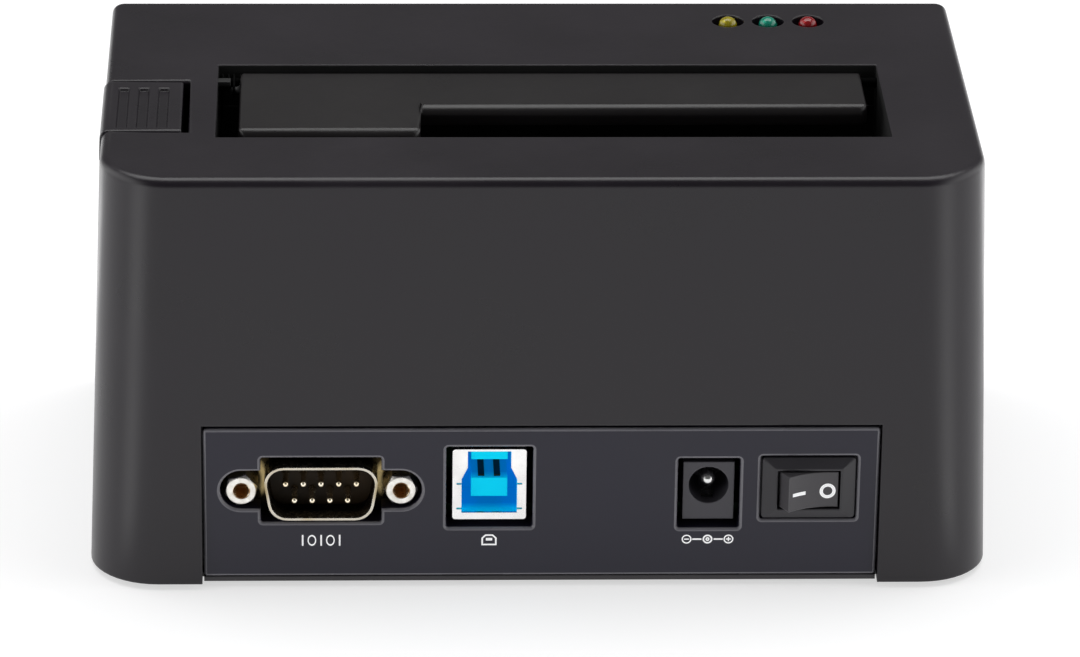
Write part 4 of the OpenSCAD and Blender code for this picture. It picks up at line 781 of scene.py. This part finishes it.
# Flap
# The sprung flap that keeps dust out of the slot: charcoal plastic with a rounded front lip, on two
# blackened steel pins, with a torsion spring at its left end. Pins, spring and the flap's left peg are
# painted near black, as shade in the slot's gap.
flap_grey = moulded_plastic(
    "flap_charcoal", (0.0062, 0.0050, 0.0055), (0.0080, 0.0066, 0.0072), (0.032, 0.030, 0.031), 0.30,
    radius=0.0005,
)
flap_low, flap_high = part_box("slot_flap")
flap_left = flap_low[0] + 0.0016
flap_round = 0.0018
flap_edge = 0.0006
flap_cover = merged_copy("slot_flap", "flap_cover", flap_grey, well_black_and_shade)
break_edges(
    flap_cover, lambda edge: all(v.co.z > flap_high[2] - flap_round for v in edge.verts), flap_edge
)
# The peg at the flap's left end takes the well's black: painted shade in the gap
finish_faces(flap_cover, lambda place: place.x < flap_left, 1)
evenly_shaded(flap_cover)
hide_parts("slot_flap")
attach(flap_cover, "flap")
# Blackened steel, painted darker still so that the pins and spring read as shade in the gap
black_steel_and_shade = plated_metal(
    "black_steel_and_shade", (0.0026, 0.0026, 0.0028), (0.0018, 0.0018, 0.0019), (0.006, 0.006, 0.006), 0.7
)
dress(black_steel_and_shade, "flap_hinge_pins", "flap_spring")

# Eject key and lever
# A push key in the housing's left edge, ribbed for the thumb. Its post presses a black rocking lever
# that lifts the drive off its connector. A coil spring under the cap brings it back.
key_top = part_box("eject_button")[1][2]
key_edge = 0.0005
key_cap = merged_copy("eject_button", "key_cap", charcoal)
break_edges(key_cap, lambda edge: all(v.co.z > key_top - weld for v in edge.verts), key_edge)
evenly_shaded(key_cap)
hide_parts("eject_button")
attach(key_cap, "eject_key")
dress(black_filled, "eject_lever")
spring_wire = plated_metal("spring_wire", (0.46, 0.46, 0.47), (0.36, 0.36, 0.37), (0.6, 0.6, 0.6), 0.28)
dress(spring_wire, "eject_clip", "lever_pin")
key_spring = merged_copy("eject_spring", "key_spring", spring_wire)
evenly_shaded(key_spring)
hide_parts("eject_spring")
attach(key_spring, "housing")
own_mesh(key_spring)

# Lamps
# Three clear coloured lamps with domed tops on tinned leads, on a small board of their own, which a
# flat grey cable joins to the main board. The two posts that hold the die show through the resin.
resin_ior = 1.54
resin_clear = 0.55


def lamp_resin(name, colour, deep):
    """Clear tinted resin with moulding swirls, which lets part of the light through."""
    material, nodes, links, finish, place = bare_material(name)
    swirl = noise(nodes, links, place, 500.0, detail=3.0)
    swirled = ranged(nodes, links, swirl, 0.0, 1.0)
    links.new(blended(nodes, links, swirled, colour, deep), finish["Base Color"])
    links.new(ranged(nodes, links, swirl, 0.10, 0.16), finish["Roughness"])
    finish["IOR"].default_value = resin_ior
    finish["Transmission Weight"].default_value = resin_clear
    return material


dress(lamp_resin("lamp_yellow", (0.62, 0.52, 0.012), (0.48, 0.40, 0.008)), "led_yellow")
dress(lamp_resin("lamp_green", (0.012, 0.46, 0.30), (0.008, 0.35, 0.23)), "led_green")
dress(lamp_resin("lamp_red", (0.52, 0.008, 0.014), (0.40, 0.005, 0.009)), "led_red")
ribbon = moulded_plastic(
    "ribbon_grey", (0.20, 0.20, 0.21), (0.26, 0.26, 0.27), (0.32, 0.32, 0.33), 0.5, grain=1800.0, bump=0.06
)
dress(ribbon, "led_cable")

post_thick = 0.00042
post_offset = 0.00052
post_foot = 0.0003
post_up = 0.55
post_lip = post_thick * 0.2
post_edge = post_thick * 0.12
anvil_up = 0.72
anvil_spread = 1.7
anvil_lip = post_thick * 0.25
anvil_dish = post_thick * 0.5


def lead_frame(node, name):
    """The two posts inside a lamp, the left one widened into the anvil that holds the die."""
    low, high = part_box(node)
    middle = [(a + b) / 2 for a, b in zip(low, high)]
    posts = []
    for side, top in ((-1, anvil_up), (1, post_up)):
        tall = (high[2] - low[2]) * top - post_foot
        place = (middle[0] + side * post_offset, middle[1], low[2] + post_foot + tall / 2)
        bpy.ops.object.select_all(action="DESELECT")
        bpy.ops.mesh.primitive_cube_add(size=1.0, location=place)
        post = bpy.context.object
        post.scale = (post_thick, post_thick, tall)
        bpy.ops.object.transform_apply(location=True, rotation=True, scale=True)
        bpy.ops.object.mode_set(mode="EDIT")
        bpy.ops.mesh.select_mode(type="FACE")
        bpy.ops.mesh.select_all(action="DESELECT")
        mesh = bmesh.from_edit_mesh(post.data)
        for face in mesh.faces:
            face.select_set(face.normal.z > 0.9)
        bmesh.update_edit_mesh(post.data)
        bpy.ops.mesh.extrude_region_move(TRANSFORM_OT_translate={"value": (0.0, 0.0, post_thick)})
        if side < 0:
            bpy.ops.transform.resize(value=(anvil_spread, anvil_spread, 1.0))
            bpy.ops.mesh.inset(thickness=anvil_lip)
            bpy.ops.transform.translate(value=(0.0, 0.0, -anvil_dish))
        else:
            bpy.ops.mesh.inset(thickness=post_lip)
        bpy.ops.object.mode_set(mode="OBJECT")
        posts.append(post)
    piece = joined(name, posts)
    applied(piece, "BEVEL", width=post_edge, segments=2)
    piece.data.materials.append(tinned)
    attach(piece, "housing")


for colour in ("yellow", "green", "red"):
    lead_frame("led_" + colour, "lead_frame_" + colour)

# Studio
# A light table, white and lit from below so that shadows stay pale, with a brighter lobe off each
# corner, in a dark room with bright side walls. One broad soft box hangs overhead, a little behind.
table_size = 8.0
glow_middle = (0.0, -0.12, 0.0)
lobe_foot = (0.065, 0.035, 0.0)
lobe_bearing = 0.70
lobe_strength = 1.15
bpy.ops.object.select_all(action="DESELECT")
bpy.ops.mesh.primitive_plane_add(size=table_size, location=(0.0, 0.0, 0.0))
table = bpy.context.object
table.name = "table"
table_white, nodes, links, finish, place = bare_material("table_white")
clouds = noise(nodes, links, place, 2.0)
links.new(blended(nodes, links, clouds, (0.50, 0.50, 0.505), (0.52, 0.52, 0.525)), finish["Base Color"])
finish["Roughness"].default_value = 0.8
finish["Specular IOR Level"].default_value = 0.1
finish["Emission Color"].default_value = (1.0, 1.0, 1.0, 1.0)
reach = vector_maths(nodes, links, "DISTANCE", place, glow_middle)
glow = ranged(nodes, links, reach, 0.59, 0.57, floor=0.05, ceiling=0.30)
quarter = vector_maths(nodes, links, "ABSOLUTE", place)
from_corner = vector_maths(nodes, links, "SUBTRACT", quarter, lobe_foot)
sides = parted(nodes, links, from_corner)
bearing = maths(nodes, links, "ARCTAN2", sides["Y"], sides["X"])
astray = maths(nodes, links, "ABSOLUTE", maths(nodes, links, "SUBTRACT", bearing, lobe_bearing))
in_line = ranged(nodes, links, astray, 1.0, 0.0, floor=0.06, ceiling=0.34)
away = vector_maths(nodes, links, "LENGTH", from_corner)
clear = ranged(nodes, links, away, 0.0, lobe_strength, floor=0.012, ceiling=0.035)
links.new(maths(nodes, links, "MULTIPLY_ADD", in_line, clear, glow), finish["Emission Strength"])
table.data.materials.append(table_white)

box_place, box_aim = Vector((0.0, 0.21, 1.05)), Vector((0.0, 0.0, 0.03))
bpy.ops.object.light_add(type="AREA", location=box_place)
key_box = bpy.context.object
key_box.name = "key_box"
key_box.data.shape = "RECTANGLE"
key_box.data.size, key_box.data.size_y = 1.4, 0.72
key_box.data.energy = 10.5
key_box.rotation_euler = (box_aim - box_place).to_track_quat("-Z", "Y").to_euler()

world = bpy.data.worlds.new("studio_room")
bpy.context.scene.world = world
world.use_nodes = True
nodes, links = world.node_tree.nodes, world.node_tree.links
direction = parted(nodes, links, nodes.new("ShaderNodeTexCoord").outputs["Generated"])
aside = maths(nodes, links, "ABSOLUTE", direction["X"])
ahead = ranged(nodes, links, direction["Y"], 0.0, 1.0, floor=-0.6, ceiling=0.6)
sideways = ranged(nodes, links, aside, 0.0, 1.0, floor=0.60, ceiling=0.85)
walls = blended(nodes, links, ahead, (0.11, 0.11, 0.11), (0.18, 0.18, 0.18))
room = blended(nodes, links, sideways, walls, (1.9, 1.9, 1.9))
links.new(room, nodes["Background"].inputs["Color"])
nodes["Background"].inputs["Strength"].default_value = 1.0

# The camera that was fitted to the photograph
yaw, rise, roll = math.radians(-2.226), math.radians(24.523), math.radians(0.81)
aim = Vector((-0.000285, -0.0310, 0.040985))
camera_distance = 0.918766
photo_wide = 1080.0
focal_pixels = 5886.215
back = Vector((math.sin(yaw) * math.cos(rise), -math.cos(yaw) * math.cos(rise), math.sin(rise)))
right = (-back).cross(Vector((0.0, 0.0, 1.0))).normalized()
up = right.cross(-back)
across = right * math.cos(roll) + up * math.sin(roll)
upright = up * math.cos(roll) - right * math.sin(roll)
bpy.ops.object.camera_add()
camera = bpy.context.object
turned = Matrix((across, upright, back)).transposed().to_4x4()
camera.matrix_world = Matrix.Translation(aim + back * camera_distance) @ turned
camera.data.sensor_fit = "HORIZONTAL"
camera.data.sensor_width = 36.0
camera.data.lens = camera.data.sensor_width * focal_pixels / photo_wide
camera.data.clip_end = 50.0
bpy.context.scene.camera = camera
bpy.context.scene.view_settings.view_transform = "Standard"
